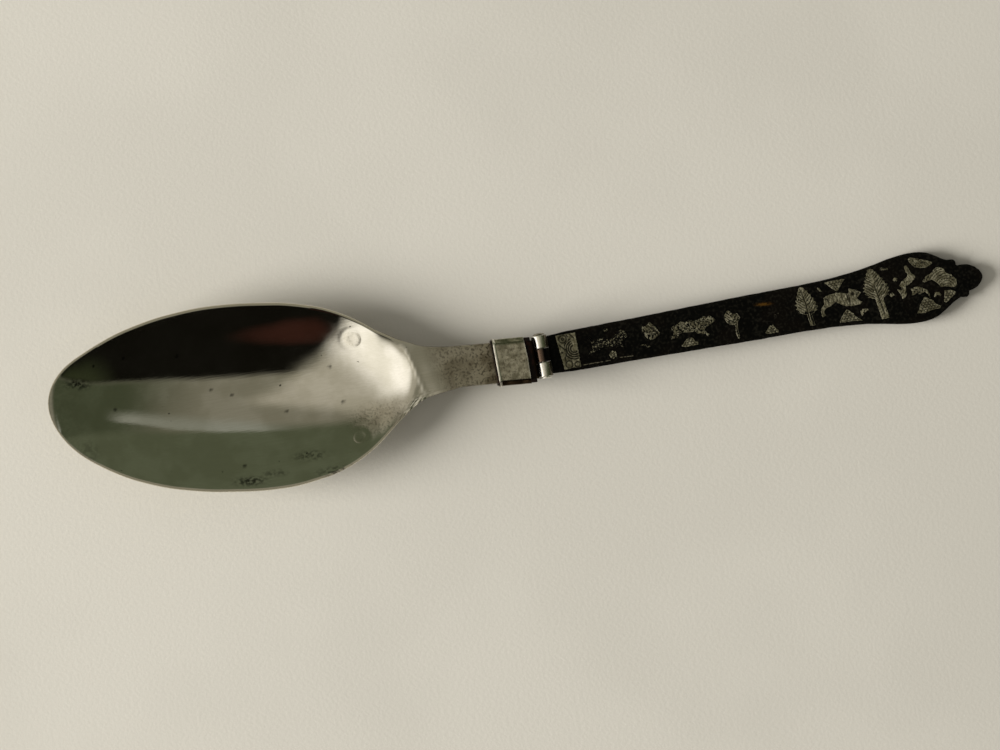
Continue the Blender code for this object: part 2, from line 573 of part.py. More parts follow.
def strap_half(side):
    """Stations, inner edge and outer edge of half the strap, from the barrel to the arm's round end."""
    plate = np.array([BOWL_REACH + STRAP_END, BOWL_REACH + COLLAR_REAR, HOLLOW_LENGTH + STRAP_HALF_WIDTH])
    shares = np.linspace(0, 1, ARM_ROWS) ** ARM_ROW_POWER
    stations = np.concatenate([plate, HOLLOW_LENGTH - ARM_LENGTH * shares])
    outer = RIVET_SPREAD * smooth_curve(ARM_STATION_SHARES, ARM_OUTER_SHARES, shares)
    inner = RIVET_SPREAD * smooth_curve(ARM_STATION_SHARES, ARM_INNER_SHARES, shares)
    outer = np.concatenate([np.full(len(plate), STRAP_HALF_WIDTH), outer])
    inner = np.concatenate([np.zeros(len(plate)), inner])
    return stations, side * inner, side * outer


def build_strap_plate(stem, material):
    """The strap's flat plate and its two arms, which follow the underside of the bowl's heel."""
    points_top = []
    points_bottom = []
    quads = []
    for side in (-1, 1):
        stations, inner, outer = strap_half(side)
        lanes = inner[:, None] + (outer - inner)[:, None] * np.linspace(0, 1, ARM_LANES)
        station = stations[:, None]
        across = lanes + middle_line(station)
        along, aside = slope(bowl_underside, station, across)
        steep = np.sqrt(1 + along**2 + aside**2)
        square = squareness(station)
        arm = ease((HOLLOW_LENGTH + STRAP_HALF_WIDTH - station) / ARM_LENGTH)
        thickness = STRAP_THICKNESS + (ARM_THICKNESS - STRAP_THICKNESS) * arm
        top = bowl_underside(station, across) - (SEAT_GAP + (ARM_GAP - SEAT_GAP) * arm) * steep
        first = len(points_top)
        points_top.extend(stem_points(station, across, top, square).reshape(-1, 3))
        points_bottom.extend(stem_points(station, across, top - thickness * steep, square).reshape(-1, 3))
        for quad in grid_quads(*lanes.shape):
            corners = tuple(corner + first for corner in quad)
            quads.append(corners if side > 0 else tuple(reversed(corners)))
    return merged_sheet("hinge_strap", points_top, points_bottom, quads, stem, material)


def merged_sheet(name, top, bottom, quads, parent, material):
    """A thick sheet whose halves share the points of their common edge."""
    keys = {}
    index = []
    for point in top:
        key = tuple(np.round(point / WELD).astype(int))
        index.append(keys.setdefault(key, len(keys)))
    kept_top = [None] * len(keys)
    kept_bottom = [None] * len(keys)
    for place, above, below in zip(index, top, bottom):
        kept_top[place] = above
        kept_bottom[place] = below
    quads = [tuple(index[corner] for corner in quad) for quad in quads]
    return thick_sheet(name, np.array(kept_top), np.array(kept_bottom), quads, parent, material)


def knuckle_outline(side, foot):
    """Profile of a knuckle and its lug. Side is the way that the straight face looks, foot the lug's end."""
    turn = math.asin(LUG_RETURN / KNUCKLE_RADIUS)
    angles = np.linspace(math.pi, -math.pi / 2 + turn, KNUCKLE_STEPS + 1)
    arc = [(KNUCKLE_RADIUS * math.cos(angle), KNUCKLE_RADIUS * math.sin(angle)) for angle in angles]
    outline = [(-KNUCKLE_RADIUS, HANDLE_BACK + foot)] + arc + [(LUG_RETURN, HANDLE_BACK + foot)]
    return [(-side * x, z) for x, z in outline]


def knuckle_spans():
    """Where each knuckle lies along the barrel: the strap's two and the handle's one between them."""
    low = MIDDLE_KNUCKLE_OFFSET - MIDDLE_KNUCKLE_LENGTH / 2
    high = MIDDLE_KNUCKLE_OFFSET + MIDDLE_KNUCKLE_LENGTH / 2
    half_gap = KNUCKLE_GAP / 2
    end = BARREL_LENGTH / 2
    return (-end, low - half_gap), (low + half_gap, high - half_gap), (high + half_gap, end)


def pin_bore(name, parent):
    """Cutter for the pin's bore, along the hinge axis."""
    reach = BARREL_LENGTH / 2 + OVERRUN
    radius = (PIN_RADIUS + RUNNING_GAP) / math.cos(math.pi / ROUND_STEPS)
    cutter = turned(name, [(radius, -reach), (radius, reach)], parent)
    cutter.rotation_euler.x = math.pi / 2
    return helper(cutter)


def build_strap(hinge, stem, material):
    """The strap: plate and arms, with a knuckle at each side of its hinge end."""
    strap = build_strap_plate(stem, material)
    lower, _, upper = knuckle_spans()
    for number, span in enumerate((lower, upper), 1):
        lug = prism(f"strap_knuckle_{number}", knuckle_outline(-1, RUNNING_GAP), *span, hinge, "Y")
        lug.data.materials.append(material)
        combine(strap, helper(lug), "UNION")
    combine(strap, pin_bore("strap_bore", hinge), "DIFFERENCE")
    return strap


def rivet_frame(stem, side, name):
    """An empty on the rivet's axis, Z up out of the bowl's hollow, and the bowl's thickness there."""
    station = RIVET_STATION
    across = middle_line(station) + side * RIVET_SPREAD
    along, aside = slope(bowl_top, station, across)
    frame = empty(name, stem)
    normal = Vector((-along, -aside, 1)).normalized()
    frame.rotation_mode = "QUATERNION"
    frame.rotation_quaternion = normal.to_track_quat("Z", "Y")
    point = stem_points(station, across, bowl_top(station, across)).reshape(3)
    frame.location = Vector(point)
    steep = math.sqrt(1 + along**2 + aside**2)
    sheet = (bowl_top(station, across) - bowl_underside(station, across)) / steep
    return frame, float(sheet)


def build_rivet(stem, bowl, strap, side, name, material):
    """A rivet through the bowl and one arm: flush head inside the bowl, domed tail under the arm."""
    frame, sheet = rivet_frame(stem, side, f"{name}_axis")
    grip = sheet + ARM_GAP + ARM_THICKNESS + ARM_GAP
    shoulder = RIVET_HEAD_PROUD - RIVET_HEAD_HEIGHT
    profile = [(RIVET_HEAD_RADIUS, RIVET_HEAD_PROUD), (RIVET_HEAD_RADIUS, shoulder)]
    profile += [(RIVET_SHANK_RADIUS, shoulder), (RIVET_SHANK_RADIUS, -grip)]
    profile += [(radius, height) for radius, height in dome(RIVET_TAIL_RADIUS, -grip, -RIVET_TAIL_HEIGHT)]
    rivet = turned(name, profile, frame, material)
    hole = RIVET_SHANK_RADIUS + SEAT_GAP
    shank_hole = turned(f"{name}_hole", [(hole, OVERRUN), (hole, -grip - OVERRUN)], frame)
    seat = RIVET_HEAD_RADIUS + SEAT_GAP
    head_seat = turned(f"{name}_seat", [(seat, OVERRUN), (seat, shoulder - SEAT_GAP)], frame)
    combine(bowl, helper(shank_hole), "DIFFERENCE")
    combine(bowl, helper(head_seat), "DIFFERENCE")
    combine(strap, shank_hole, "DIFFERENCE")
    return rivet


def box_loop(place, half, top, foot, top_chamfer, foot_chamfer):
    """Eight corners of a box section, in the plane parallel to the hinge axis at a place along X."""
    corners = (
        (half - top_chamfer, top), (half, top - top_chamfer), (half, foot + foot_chamfer),
        (half - foot_chamfer, foot), (foot_chamfer - half, foot), (-half, foot + foot_chamfer),
        (-half, top - top_chamfer), (top_chamfer - half, top),
    )
    across = np.array([corner[0] for corner in corners]) + middle_line(BOWL_REACH)
    height = np.array([corner[1] for corner in corners])
    return stem_points(BOWL_REACH + place, across, height, 1)


def collar_loop(place, inset):
    """The collar's section at a place along X, set in from the outside of its jacket with even walls."""
    narrowing = inset * (2 - math.sqrt(2))
    return box_loop(
        place, COLLAR_HALF_WIDTH - inset, COLLAR_TOP - inset, COLLAR_FOOT + inset,
        COLLAR_TOP_CHAMFER - narrowing, COLLAR_FOOT_CHAMFER - narrowing,
    )


def build_sleeve(slide, material):
    """The iron sleeve: a box open to the hinge, whose end wall has a slot for the stub and the strap."""
    slot = (
        STUB_HALF_WIDTH * SLOT_WIDTH_SHARE + SLOT_GAP, STUB_TOP + SEAT_GAP, HANDLE_BACK - SEAT_GAP,
        SLOT_CHAMFER, SLOT_CHAMFER,
    )
    loops = [
        collar_loop(COLLAR_REAR, SLEEVE_INSET), collar_loop(COLLAR_FRONT, SLEEVE_INSET),
        collar_loop(COLLAR_FRONT, BORE_INSET), collar_loop(COLLAR_REAR + END_WALL, BORE_INSET),
        box_loop(COLLAR_REAR + END_WALL, *slot), box_loop(COLLAR_REAR, *slot),
    ]
    return loops_solid("collar_sleeve", loops, slide, material, ring=True)


def build_jacket(slide, material):
    """The silver jacket round the sleeve, with a rolled edge at its bowl end."""
    rear = COLLAR_REAR + SLEEVE_TAIL
    front = rear + JACKET_LENGTH
    loops = [
        collar_loop(front, JACKET_WALL), collar_loop(rear, JACKET_WALL), collar_loop(rear, 0),
        collar_loop(rear + ROLLED_EDGE * ROLLED_CREST_SHARE, -ROLLED_RISE),
        collar_loop(rear + ROLLED_EDGE * (1 - ROLLED_CREST_SHARE), -ROLLED_RISE),
        collar_loop(rear + ROLLED_EDGE, 0), collar_loop(front, 0),
    ]
    return loops_solid("collar_jacket", loops, slide, material, ring=True)


def build_pin(hinge, material):
    """The hinge pin: domed head at one end, flat peened foot at the other."""
    end = BARREL_LENGTH / 2 + SEAT_GAP
    profile = [(PIN_HEAD_RADIUS, -end - PIN_FOOT_HEIGHT), (PIN_HEAD_RADIUS, -end), (PIN_RADIUS, -end)]
    profile += [(PIN_RADIUS, end)] + dome(PIN_HEAD_RADIUS, end, PIN_HEAD_HEIGHT)
    pin = turned("hinge_pin", profile, hinge, material)
    pin.rotation_euler.x = -math.pi / 2
    return pin


def handle_outline():
    """Outline of the handle, from its square root to the finial, one edge and then the other."""
    root = KNUCKLE_RADIUS + HANDLE_ROOT_GAP
    half = HANDLE_BREADTH / 2
    side = [(root, HANDLE_ROOT_SHARE * half)]
    side += [
        (station * HANDLE_LENGTH, width * half)
        for station, width in zip(HANDLE_STATION_SHARES, HANDLE_WIDTH_SHARES)
    ]
    outline = np.array(side + [(x, -y) for x, y in reversed(side[:-1])])
    share = outline[:, 0] / HANDLE_LENGTH
    skew = FINIAL_SKEW * ease((share - SKEW_START_SHARE) / (SKEW_END_SHARE - SKEW_START_SHARE))
    outline[:, 0] -= skew * outline[:, 1] / (HANDLE_WIDTH_SHARES[SHOULDER_INDEX] * half)
    return outline


def grown(outline, distance):
    """The outline with every edge moved outwards by the distance. It runs round either way."""
    outline = np.asarray(outline, float)
    before = outline - np.roll(outline, 1, axis=0)
    after = np.roll(outline, -1, axis=0) - outline
    area = np.sum(outline[:, 0] * np.roll(outline[:, 1], -1) - np.roll(outline[:, 0], -1) * outline[:, 1])
    way = np.sign(area)

    def outward(edge):
        normal = np.stack([edge[:, 1], -edge[:, 0]], axis=-1) * way
        return normal / np.linalg.norm(normal, axis=1, keepdims=True)

    bisector = outward(before) + outward(after)
    length = np.linalg.norm(bisector, axis=1, keepdims=True)
    bisector /= length
    return outline + bisector * distance / np.maximum(length / 2, MITRE_LIMIT_SHARE)


def tree_points(tree):
    """A tree in a box of one by one: a trunk, and a crown whose sides are cut into upward teeth."""
    count = 2 * tree.teeth
    steps = np.arange(count)
    tips = steps % 2
    heights = (steps + TOOTH_RISE_SHARE * tips) / count
    widths = smooth_curve(CROWN_HEIGHT_SHARES, CROWN_WIDTH_SHARES, heights) / 2
    widths = widths * (1 - TOOTH_DEPTH_SHARE + 2 * TOOTH_DEPTH_SHARE * tips)
    top = 0.5
    places = tree.crown_foot_share + heights * (top - tree.crown_foot_share)
    trunk = tree.trunk_share / 2
    side = [(trunk, -top), (trunk, tree.crown_foot_share)] + list(zip(widths, places))
    outline = side + [(0, top)] + [(-x, y) for x, y in reversed(side)]
    return np.array([(x + tree.lean_share * y, y) for x, y in outline])


def flower_points(flower):
    """A round flower in a box of one by one, notched between its petals."""
    steps = np.arange(2 * flower.petals)
    angles = math.pi * steps / flower.petals
    radii = (1 - PETAL_NOTCH_SHARE * (steps % 2)) / 2
    return np.stack([radii * np.cos(angles), radii * np.sin(angles)], axis=-1)


def motif_points(motif):
    """The motif's outline in a box of one by one."""
    if isinstance(motif, Tree):
        return tree_points(motif)
    if isinstance(motif, Flower):
        return flower_points(motif)
    return np.array(motif)


def inlay_outline(inlay):
    """The inlay's outline in its place on the handle."""
    size = (inlay.long_share * HANDLE_LENGTH, inlay.wide_share * HANDLE_BREADTH)
    middle = (inlay.along_share * HANDLE_LENGTH, inlay.across_share * HANDLE_BREADTH)
    return motif_points(inlay.outline) * size + middle


def build_handle(fold, material):
    """The iron handle: a flat shaped bar with the middle knuckle at its root and a pocket for each inlay."""
    handle = prism("handle", handle_outline(), HANDLE_BACK, HANDLE_TOP, fold, "Z", material)
    edges = handle.modifiers.new("edges", "BEVEL")
    edges.width = HANDLE_BEVEL
    edges.segments = 1
    edges.limit_method = "ANGLE"
    edges.angle_limit = EDGE_ANGLE
    _, middle, _ = knuckle_spans()
    outline = knuckle_outline(1, RUNNING_GAP)
    tongue_end = KNUCKLE_RADIUS + HANDLE_ROOT_GAP + OVERRUN
    tongue = [(tongue_end, HANDLE_BACK + RUNNING_GAP), (tongue_end, HANDLE_TOP - RUNNING_GAP)]
    tongue += [(KNUCKLE_RADIUS, HANDLE_TOP - RUNNING_GAP)]
    knuckle = prism("handle_knuckle", tongue + outline[1:], *middle, fold, "Y")
    knuckle.data.materials.append(material)
    combine(handle, helper(knuckle), "UNION")
    combine(handle, pin_bore("handle_bore", fold), "DIFFERENCE")
    floor = HANDLE_TOP - INLAY_THICKNESS - SEAT_GAP
    for name, inlay in INLAY_SHARES.items():
        outline = grown(inlay_outline(inlay), SEAT_GAP)
        pocket = prism(f"{name}_pocket", outline, floor, HANDLE_TOP + OVERRUN, fold, "Z")
        combine(handle, helper(pocket), "DIFFERENCE")
    return handle


def build_inlays(fold, material):
    """The silver inlays, each a flat cut-out that lies flush in its pocket."""
    for name, inlay in INLAY_SHARES.items():
        prism(name, inlay_outline(inlay), HANDLE_TOP - INLAY_THICKNESS, HANDLE_TOP, fold, "Z", material)


def evaluated_points(piece):
    """The finished piece's corners in the world."""
    graph = bpy.context.evaluated_depsgraph_get()
    finished = piece.evaluated_get(graph)
    mesh = finished.to_mesh()
    points = np.array([finished.matrix_world @ corner.co for corner in mesh.vertices])
    finished.to_mesh_clear()
    return points


def stand_on_table(table, bowl, handle):
    """Tilts the spoon until belly and handle are level with each other, and centres it over the origin."""
    bpy.context.view_layer.update()
    belly = evaluated_points(bowl)
    back = evaluated_points(handle)
    tilt = 0.0
    for _ in range(SETTLE_ROUNDS):
        down = np.array([-math.sin(tilt), 0, math.cos(tilt)])
        low_belly = belly[np.argmin(belly @ down)]
        low_back = back[np.argmin(back @ down)]
        tilt = math.atan2(low_back[2] - low_belly[2], low_back[0] - low_belly[0])
    table.rotation_euler.y = tilt
    bpy.context.view_layer.update()
    pieces = [piece for piece in bpy.context.scene.objects if piece.type == "MESH" and not piece.hide_render]
    points = np.concatenate([evaluated_points(piece) for piece in pieces])
    low = points.min(axis=0)
    high = points.max(axis=0)
    table.location = (-(low[0] + high[0]) / 2, -(low[1] + high[1]) / 2, -low[2])


def main():
    clear_scene()
    tinned = metal("tinned_metal")
    bright = metal("silver")

    table = empty("table_stand")
    hinge = empty("hinge_axis", table)
    fold = empty("fold_axis", hinge)
    stem = empty("stem_axis", table)
    stem.rotation_euler.z = -STEM_YAW
    slide = empty("collar_slide", stem)

    bowl = build_bowl(stem, tinned)
    strap = build_strap(hinge, stem, bright)
    build_rivet(stem, bowl, strap, -1, "bowl_rivet_right", tinned)
    build_rivet(stem, bowl, strap, 1, "bowl_rivet_left", tinned)
    build_sleeve(slide, metal("dark_iron"))
    build_jacket(slide, bright)
    build_pin(hinge, bright)
    handle = build_handle(fold, metal("blackened_iron"))
    build_inlays(fold, metal("inlaid_silver"))
    stand_on_table(table, bowl, handle)


main()
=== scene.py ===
"""A folding spoon on pale paper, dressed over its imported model.

The spoon has a bowl of tinned metal on a flat stub, a riveted strap with two hinge knuckles, a sliding collar
of silver over iron, and a handle of blackened iron with silver let into it. The spoon's lengths are in
millimetres, and become metres as its meshes and materials are made. The studio's room is in metres.

Two frames are used. The hinge frame has its origin in the middle of the hinge, X along the handle, Y along
the hinge pin and Z up out of the handle's face. The stem frame is the same frame turned aside by the stem's
yaw, with the bowl on its negative X. A station is the distance from the bowl's tip, measured along the stem.
"""

from __future__ import annotations

import json
import logging
import math
from collections.abc import Callable
from dataclasses import dataclass, field, replace
from enum import Enum, IntEnum
from functools import cache

import bmesh
import bpy
import numpy as np
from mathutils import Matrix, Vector
from mathutils.geometry import delaunay_2d_cdt

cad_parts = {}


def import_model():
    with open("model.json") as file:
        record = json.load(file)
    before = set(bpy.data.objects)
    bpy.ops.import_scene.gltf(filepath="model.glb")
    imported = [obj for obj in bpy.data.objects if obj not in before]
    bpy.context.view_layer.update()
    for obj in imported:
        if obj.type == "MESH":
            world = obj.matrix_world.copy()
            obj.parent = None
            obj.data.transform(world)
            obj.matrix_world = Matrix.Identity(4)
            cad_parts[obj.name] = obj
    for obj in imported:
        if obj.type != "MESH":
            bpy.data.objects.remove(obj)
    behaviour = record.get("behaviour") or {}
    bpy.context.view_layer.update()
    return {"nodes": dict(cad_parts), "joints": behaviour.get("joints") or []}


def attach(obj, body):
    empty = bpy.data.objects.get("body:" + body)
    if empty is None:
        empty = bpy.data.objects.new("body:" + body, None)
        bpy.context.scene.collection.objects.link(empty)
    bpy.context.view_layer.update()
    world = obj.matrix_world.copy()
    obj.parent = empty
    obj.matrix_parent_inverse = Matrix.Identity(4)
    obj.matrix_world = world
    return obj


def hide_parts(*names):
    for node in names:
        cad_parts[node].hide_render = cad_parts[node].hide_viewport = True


LOG = logging.getLogger("folding_spoon")
Array = np.ndarray
Socket = bpy.types.NodeSocket
# Metres in a millimetre.
MM = 0.001
# Nearer than this, two points are one.
WELD = 1e-4
# The grid that a packed outline's corners are read on.
GRAIN = 4e-3
# Nearer than this to an edge, a point lies on it.
ON_EDGE = 1e-3
# Half the stretch over which a surface's slope is taken.
SLOPE_STEP = 0.07
# Waves that are summed in a ripple.
RIPPLE_WAVES = 12
# How far the stem is turned aside from the handle.
STEM_TURN = math.radians(5.1)
# Degrees past which an edge is shaded sharp.
SHARP_ANGLE = 40
# How much a corner's 45 degree cut shrinks for each mm that its walls are set in.
CUT_NARROWING = 2 - math.sqrt(2)


class Seed(IntEnum):
    """What each uneven pattern is drawn from, so that it comes out the same every time."""

    BOWL_SWELL = 3
    BOWL_BUCKLE = 4
    BOWL_GRIT = 5
    BOWL_CRUMBS = 6
    JACKET_DENTS = 11
    JACKET_END = 12
    SLEEVE_END = 21
    ENGRAVING = 31
    FILING = 41
    HANDLE_PITS = 43
    HANDLE_WAVES = 44
    HANDLE_SPOTS = 45
    PAPER = 51


# Curves and patterns


def ease(share: Array) -> Array:
    """Goes from 0 to 1 with level ends, for shares from 0 to 1."""
    share = np.clip(share, 0, 1)
    return share * share * (3 - 2 * share)


def ramp(value: Array, start: float, end: float) -> Array:
    """Goes from 0 at the start to 1 at the end, with level ends."""
    return ease((value - start) / (end - start))


def patch(x: Array, y: Array, place: tuple, size: tuple, reach: float) -> Array:
    """An oval patch: the reach less the distance from its place in its own half sizes, eased."""
    return ease(reach - np.hypot((x - place[0]) / size[0], (y - place[1]) / size[1]))


def smooth_curve(stations: Array, values: Array, at: Array) -> Array:
    """A cubic through given values that never overshoots them.

    Args:
        stations: Where the values are given, rising.
        values: The values there.
        at: Where the curve is wanted.

    Returns:
        The curve's values: a cubic between two neighbours, whose slopes are the harmonic means of the rises.
    """
    stations = np.asarray(stations, float)
    values = np.asarray(values, float)
    steps = np.diff(stations)
    rises = np.diff(values) / steps
    same_way = rises[:-1] * rises[1:] > 0
    mean = 2 * rises[:-1] * rises[1:] / np.where(same_way, rises[:-1] + rises[1:], 1)
    slopes = np.concatenate([rises[:1], np.where(same_way, mean, 0), rises[-1:]])
    at = np.clip(at, stations[0], stations[-1])
    span = np.clip(np.searchsorted(stations, at) - 1, 0, len(steps) - 1)
    t = (at - stations[span]) / steps[span]
    start = values[span] * (1 + 2 * t) + slopes[span] * steps[span] * t
    end = values[span + 1] * (3 - 2 * t) - slopes[span + 1] * steps[span] * (1 - t)
    return start * (1 - t) ** 2 + end * t**2


def ripple(points: Array, size: float, seed: int) -> Array:
    """A smooth uneven value of about -1 to 1: the sum of waves of about one length in random directions.

    Args:
        points: Points as rows, of two or three coordinates.
        size: The waves' mean length.
        seed: Fixes the waves.

    Returns:
        One value for each point.
    """
    rng = np.random.default_rng(seed)
    ways = rng.normal(size=(RIPPLE_WAVES, points.shape[-1]))
    ways /= np.linalg.norm(ways, axis=1, keepdims=True) * size * rng.uniform(0.6, 1.7, (RIPPLE_WAVES, 1))
    phases = rng.uniform(0, 2 * math.pi, RIPPLE_WAVES)
    return np.sin(2 * math.pi * points @ ways.T + phases).sum(axis=-1) / math.sqrt(RIPPLE_WAVES)


def wander(loop: Array, lengths: tuple[float, float], seed: int) -> Array:
    """Uneven shifts for a flat loop: a ripple of its own length and seed along each axis."""
    return np.stack([ripple(loop, length, seed + axis) for axis, length in enumerate(lengths)], axis=-1)


def closed(loop: Array) -> Array:
    """A loop or grid with its first row again at its end."""
    return np.concatenate([loop, loop[:1]])


def resampled(loop: Array, step: float) -> Array:
    """Points at even distances of about one step round a closed loop, by its running length.

    Args:
        loop: A closed loop, as rows of X and Y.
        step: The wanted distance.

    Returns:
        The points, as rows of X and Y.
    """
    path = closed(loop)
    lengths = np.concatenate([[0], np.cumsum(np.linalg.norm(np.diff(path, axis=0), axis=1))])
    at = np.linspace(0, lengths[-1], max(int(lengths[-1] / step), 12), endpoint=False)
    return np.stack([np.interp(at, lengths, column) for column in path.T], axis=-1)


def softened(loop: Array, reach: int) -> Array:
    """A closed loop whose corners are rounded: each point becomes a weighted mean of its neighbours.

    Args:
        loop: Points at even distances, as rows.
        reach: How many neighbours on each side count. The weights fall off as a cosine bell.

    Returns:
        The rounded loop, with as many points.
    """
    offsets = np.arange(-reach, reach + 1)
    weights = 1 + np.cos(math.pi * offsets / (reach + 1))
    shifted = np.stack([np.roll(loop, -offset, axis=0) for offset in offsets])
    return np.tensordot(weights / weights.sum(), shifted, axes=1)


def grown(loop: Array, distance: float) -> Array:
    """A closed loop moved outwards by a distance, along the mean direction of each point's two edges.

    Args:
        loop: A closed loop, as rows of X and Y.
        distance: How far out, or in where it is negative.

    Returns:
        The moved loop.
    """
    after = np.roll(loop, -1, axis=0)
    area = np.sum(loop[:, 0] * after[:, 1] - after[:, 0] * loop[:, 1])
    tangent = after - np.roll(loop, 1, axis=0)
    normal = np.stack([tangent[:, 1], -tangent[:, 0]], axis=-1) * np.sign(area)
    return loop + distance * normal / np.maximum(np.linalg.norm(normal, axis=1, keepdims=True), WELD)


def inside(points: Array, loop: Array) -> Array:
    """Which points lie inside a closed loop: a ray along X crosses it an odd number of times.

    Args:
        points: Rows of X and Y.
        loop: A closed loop, as rows of X and Y.

    Returns:
        True for each point that lies inside.
    """
    within = np.all((points >= loop.min(axis=0)) & (points <= loop.max(axis=0)), axis=1)
    x, y = points[within].T[:, :, None]
    (ax, ay), (bx, by) = loop.T, np.roll(loop, -1, axis=0).T
    crosses = (ay > y) != (by > y)
    at = ax + (y - ay) * (bx - ax) / np.where(by == ay, 1, by - ay)
    within[within] = np.count_nonzero(crosses & (x < at), axis=1) % 2 == 1
    return within


def distance_to(points: Array, path: Array) -> Array:
    """Distance of each point from an open path: the least over its stretches.

    Args:
        points: Rows of X and Y.
        path: The path's corners.

    Returns:
        A distance a point.
    """
    start, run = path[:-1], np.diff(path, axis=0)
    lengths = np.maximum(np.sum(run**2, axis=1), WELD**2)
    offset = points[:, None] - start
    share = np.clip(np.sum(offset * run, axis=2) / lengths, 0, 1)
    return np.linalg.norm(offset - share[..., None] * run, axis=2).min(axis=1)


def scattered(loop: Array, pitch: float, seed: int) -> Array:
    """Points over a loop's box, a pitch apart, each moved by up to 0.3 of it at random.

    Args:
        loop: A closed loop, as rows of X and Y.
        pitch: Distance between neighbours.
        seed: What they are drawn from.

    Returns:
        The points, also those outside the loop.
    """
    axes = [np.arange(low, high, pitch) for low, high in zip(loop.min(axis=0), loop.max(axis=0))]
    spots = np.stack(np.meshgrid(*axes), axis=-1).reshape(-1, 2)
    return spots + np.random.default_rng(seed).uniform(-0.3, 0.3, spots.shape) * pitch


def raised(flat: Array, height: Array | float) -> Array:
    """Flat points lifted to their heights."""
    return np.column_stack([flat, np.broadcast_to(height, len(flat))])


def slopes(surface: Callable, station: Array, across: Array) -> tuple[Array, Array]:
    """A height's slopes along and across the stem, by differences over a short stretch.

    Args:
        surface: Height for a station and a place across.
        station: Distance from the bowl's tip along the stem.
        across: Distance across the stem, to the far side.

    Returns:
        Rise for each mm along, and rise for each mm across.
    """
    along = surface(station + SLOPE_STEP, across) - surface(station - SLOPE_STEP, across)
    aside = surface(station, across + SLOPE_STEP) - surface(station, across - SLOPE_STEP)
    return along / (2 * SLOPE_STEP), aside / (2 * SLOPE_STEP)


def rise(distance: Array, steepness: float) -> Array:
    """A parabola from 0 in the middle to 1 at the edge, steeper near the edge by a quartic's share."""
    return (1 - steepness) * distance**2 + steepness * distance**4


def line(distance: Array, width: float) -> Array:
    """1 on a line and 0 past half its width, eased."""
    return ease(1 - np.abs(distance) / (width / 2))


def stripes(phase: Array, share: float) -> Array:
    """Lines wherever a phase is whole, each as wide as a share of the pitch, eased."""
    return ease(1 - np.abs(phase - np.round(phase)) / (share / 2))


# Meshes


class Shell:
    """Gathers the closed surfaces of one piece, with numbers on their points that the finish reads."""

    def __init__(self) -> None:
        """Starts with nothing."""
        self._points: list[Array] = []
        self._faces: list[Array] = []
        self._marks: list[dict[str, Array]] = []
        self._count = 0

    def add_faces(self, points: Array, faces: Array, **marks: Array | float) -> None:
        """Adds triangles.

        Args:
            points: Corners as rows of three.
            faces: Three corner numbers a row.
            marks: Named numbers, one for each point or one for all.
        """
        self._points.append(points)
        self._faces.append(faces + self._count)
        self._marks.append({key: np.broadcast_to(value, len(points)) for key, value in marks.items()})
        self._count += len(points)

    def add_grid(self, grid: Array, wrap: bool = False, **marks: Array | float) -> None:
        """Adds a surface given on a grid of rows and columns.

        Args:
            grid: Points, rows by columns by three.
            wrap: True where the last column joins the first.
            marks: Named numbers, one for each point of the grid or one for all.
        """
        rows, columns = grid.shape[:2]
        here = np.arange(rows * columns).reshape(rows, columns)
        if wrap:
            here = np.concatenate([here, here[:, :1]], axis=1)
        a, b, c, d = here[:-1, :-1], here[:-1, 1:], here[1:, 1:], here[1:, :-1]
        faces = np.concatenate([np.stack(corners, -1).reshape(-1, 3) for corners in ((a, b, c), (a, c, d))])
        flat = {key: np.ravel(value) if np.ndim(value) else value for key, value in marks.items()}
        self.add_faces(grid.reshape(-1, 3), faces, **flat)

    def add_cap(self, loop: Array, **marks: float) -> None:
        """Closes an end with triangles from the middle of its loop.

        Args:
            loop: The end's loop.
            marks: Named numbers for all its points.
        """
        count = len(loop)
        points = np.concatenate([loop, loop.mean(axis=0, keepdims=True)])
        here = np.arange(count)
        faces = np.stack([here, (here + 1) % count, np.full(count, count)], axis=-1)
        self.add_faces(points, faces, **marks)

    def add_bar(self, grid: Array, **marks: Array | float) -> None:
        """Adds a wrapped grid of loops and closes both its ends.

        Args:
            grid: Loops of points, one a row.
            marks: Named numbers, as in add_grid.
        """
        self.add_grid(grid, wrap=True, **marks)
        self.add_cap(grid[0])
        self.add_cap(grid[-1])

    def make(self, name: str, body: str, nodes: tuple[str, ...], finish: Finish) -> bpy.types.Object:
        """Makes the object in metres: doubled points become one, faces look outwards, and its finish goes on.

        Args:
            name: The object's name.
            body: The body that it rides on.
            nodes: The nodes that it stands for.
            finish: Its finish.

        Returns:
            The object.
        """
        points = np.concatenate(self._points)
        _, first, index = np.unique(np.round(points / WELD), axis=0, return_index=True, return_inverse=True)
        faces = index.ravel()[np.concatenate(self._faces)]
        whole = (faces[:, 0] != faces[:, 1]) & (faces[:, 1] != faces[:, 2]) & (faces[:, 2] != faces[:, 0])
        mesh = bpy.data.meshes.new(name)
        mesh.from_pydata((points[first] * MM).tolist(), [], faces[whole].tolist())
        for key in sorted({key for marks in self._marks for key in marks}):
            blank = [marks.get(key, np.zeros(len(part))) for marks, part in zip(self._marks, self._points)]
            values = np.concatenate(blank)[first].astype(np.float32)
            mesh.attributes.new(key, "FLOAT", "POINT").data.foreach_set("value", values)
        work = bmesh.new()
        work.from_mesh(mesh)
        bmesh.ops.recalc_face_normals(work, faces=work.faces)
        work.to_mesh(mesh)
        work.free()
        mesh.shade_smooth()
        mesh.set_sharp_from_angle(angle=math.radians(SHARP_ANGLE))
        piece = bpy.data.objects.new(name, mesh)
        bpy.context.scene.collection.objects.link(piece)
        mesh.materials.append(finish.material())
        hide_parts(*nodes)
        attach(piece, body)
        LOG.info("%s: %d points, %d faces", name, len(first), int(whole.sum()))
        return piece


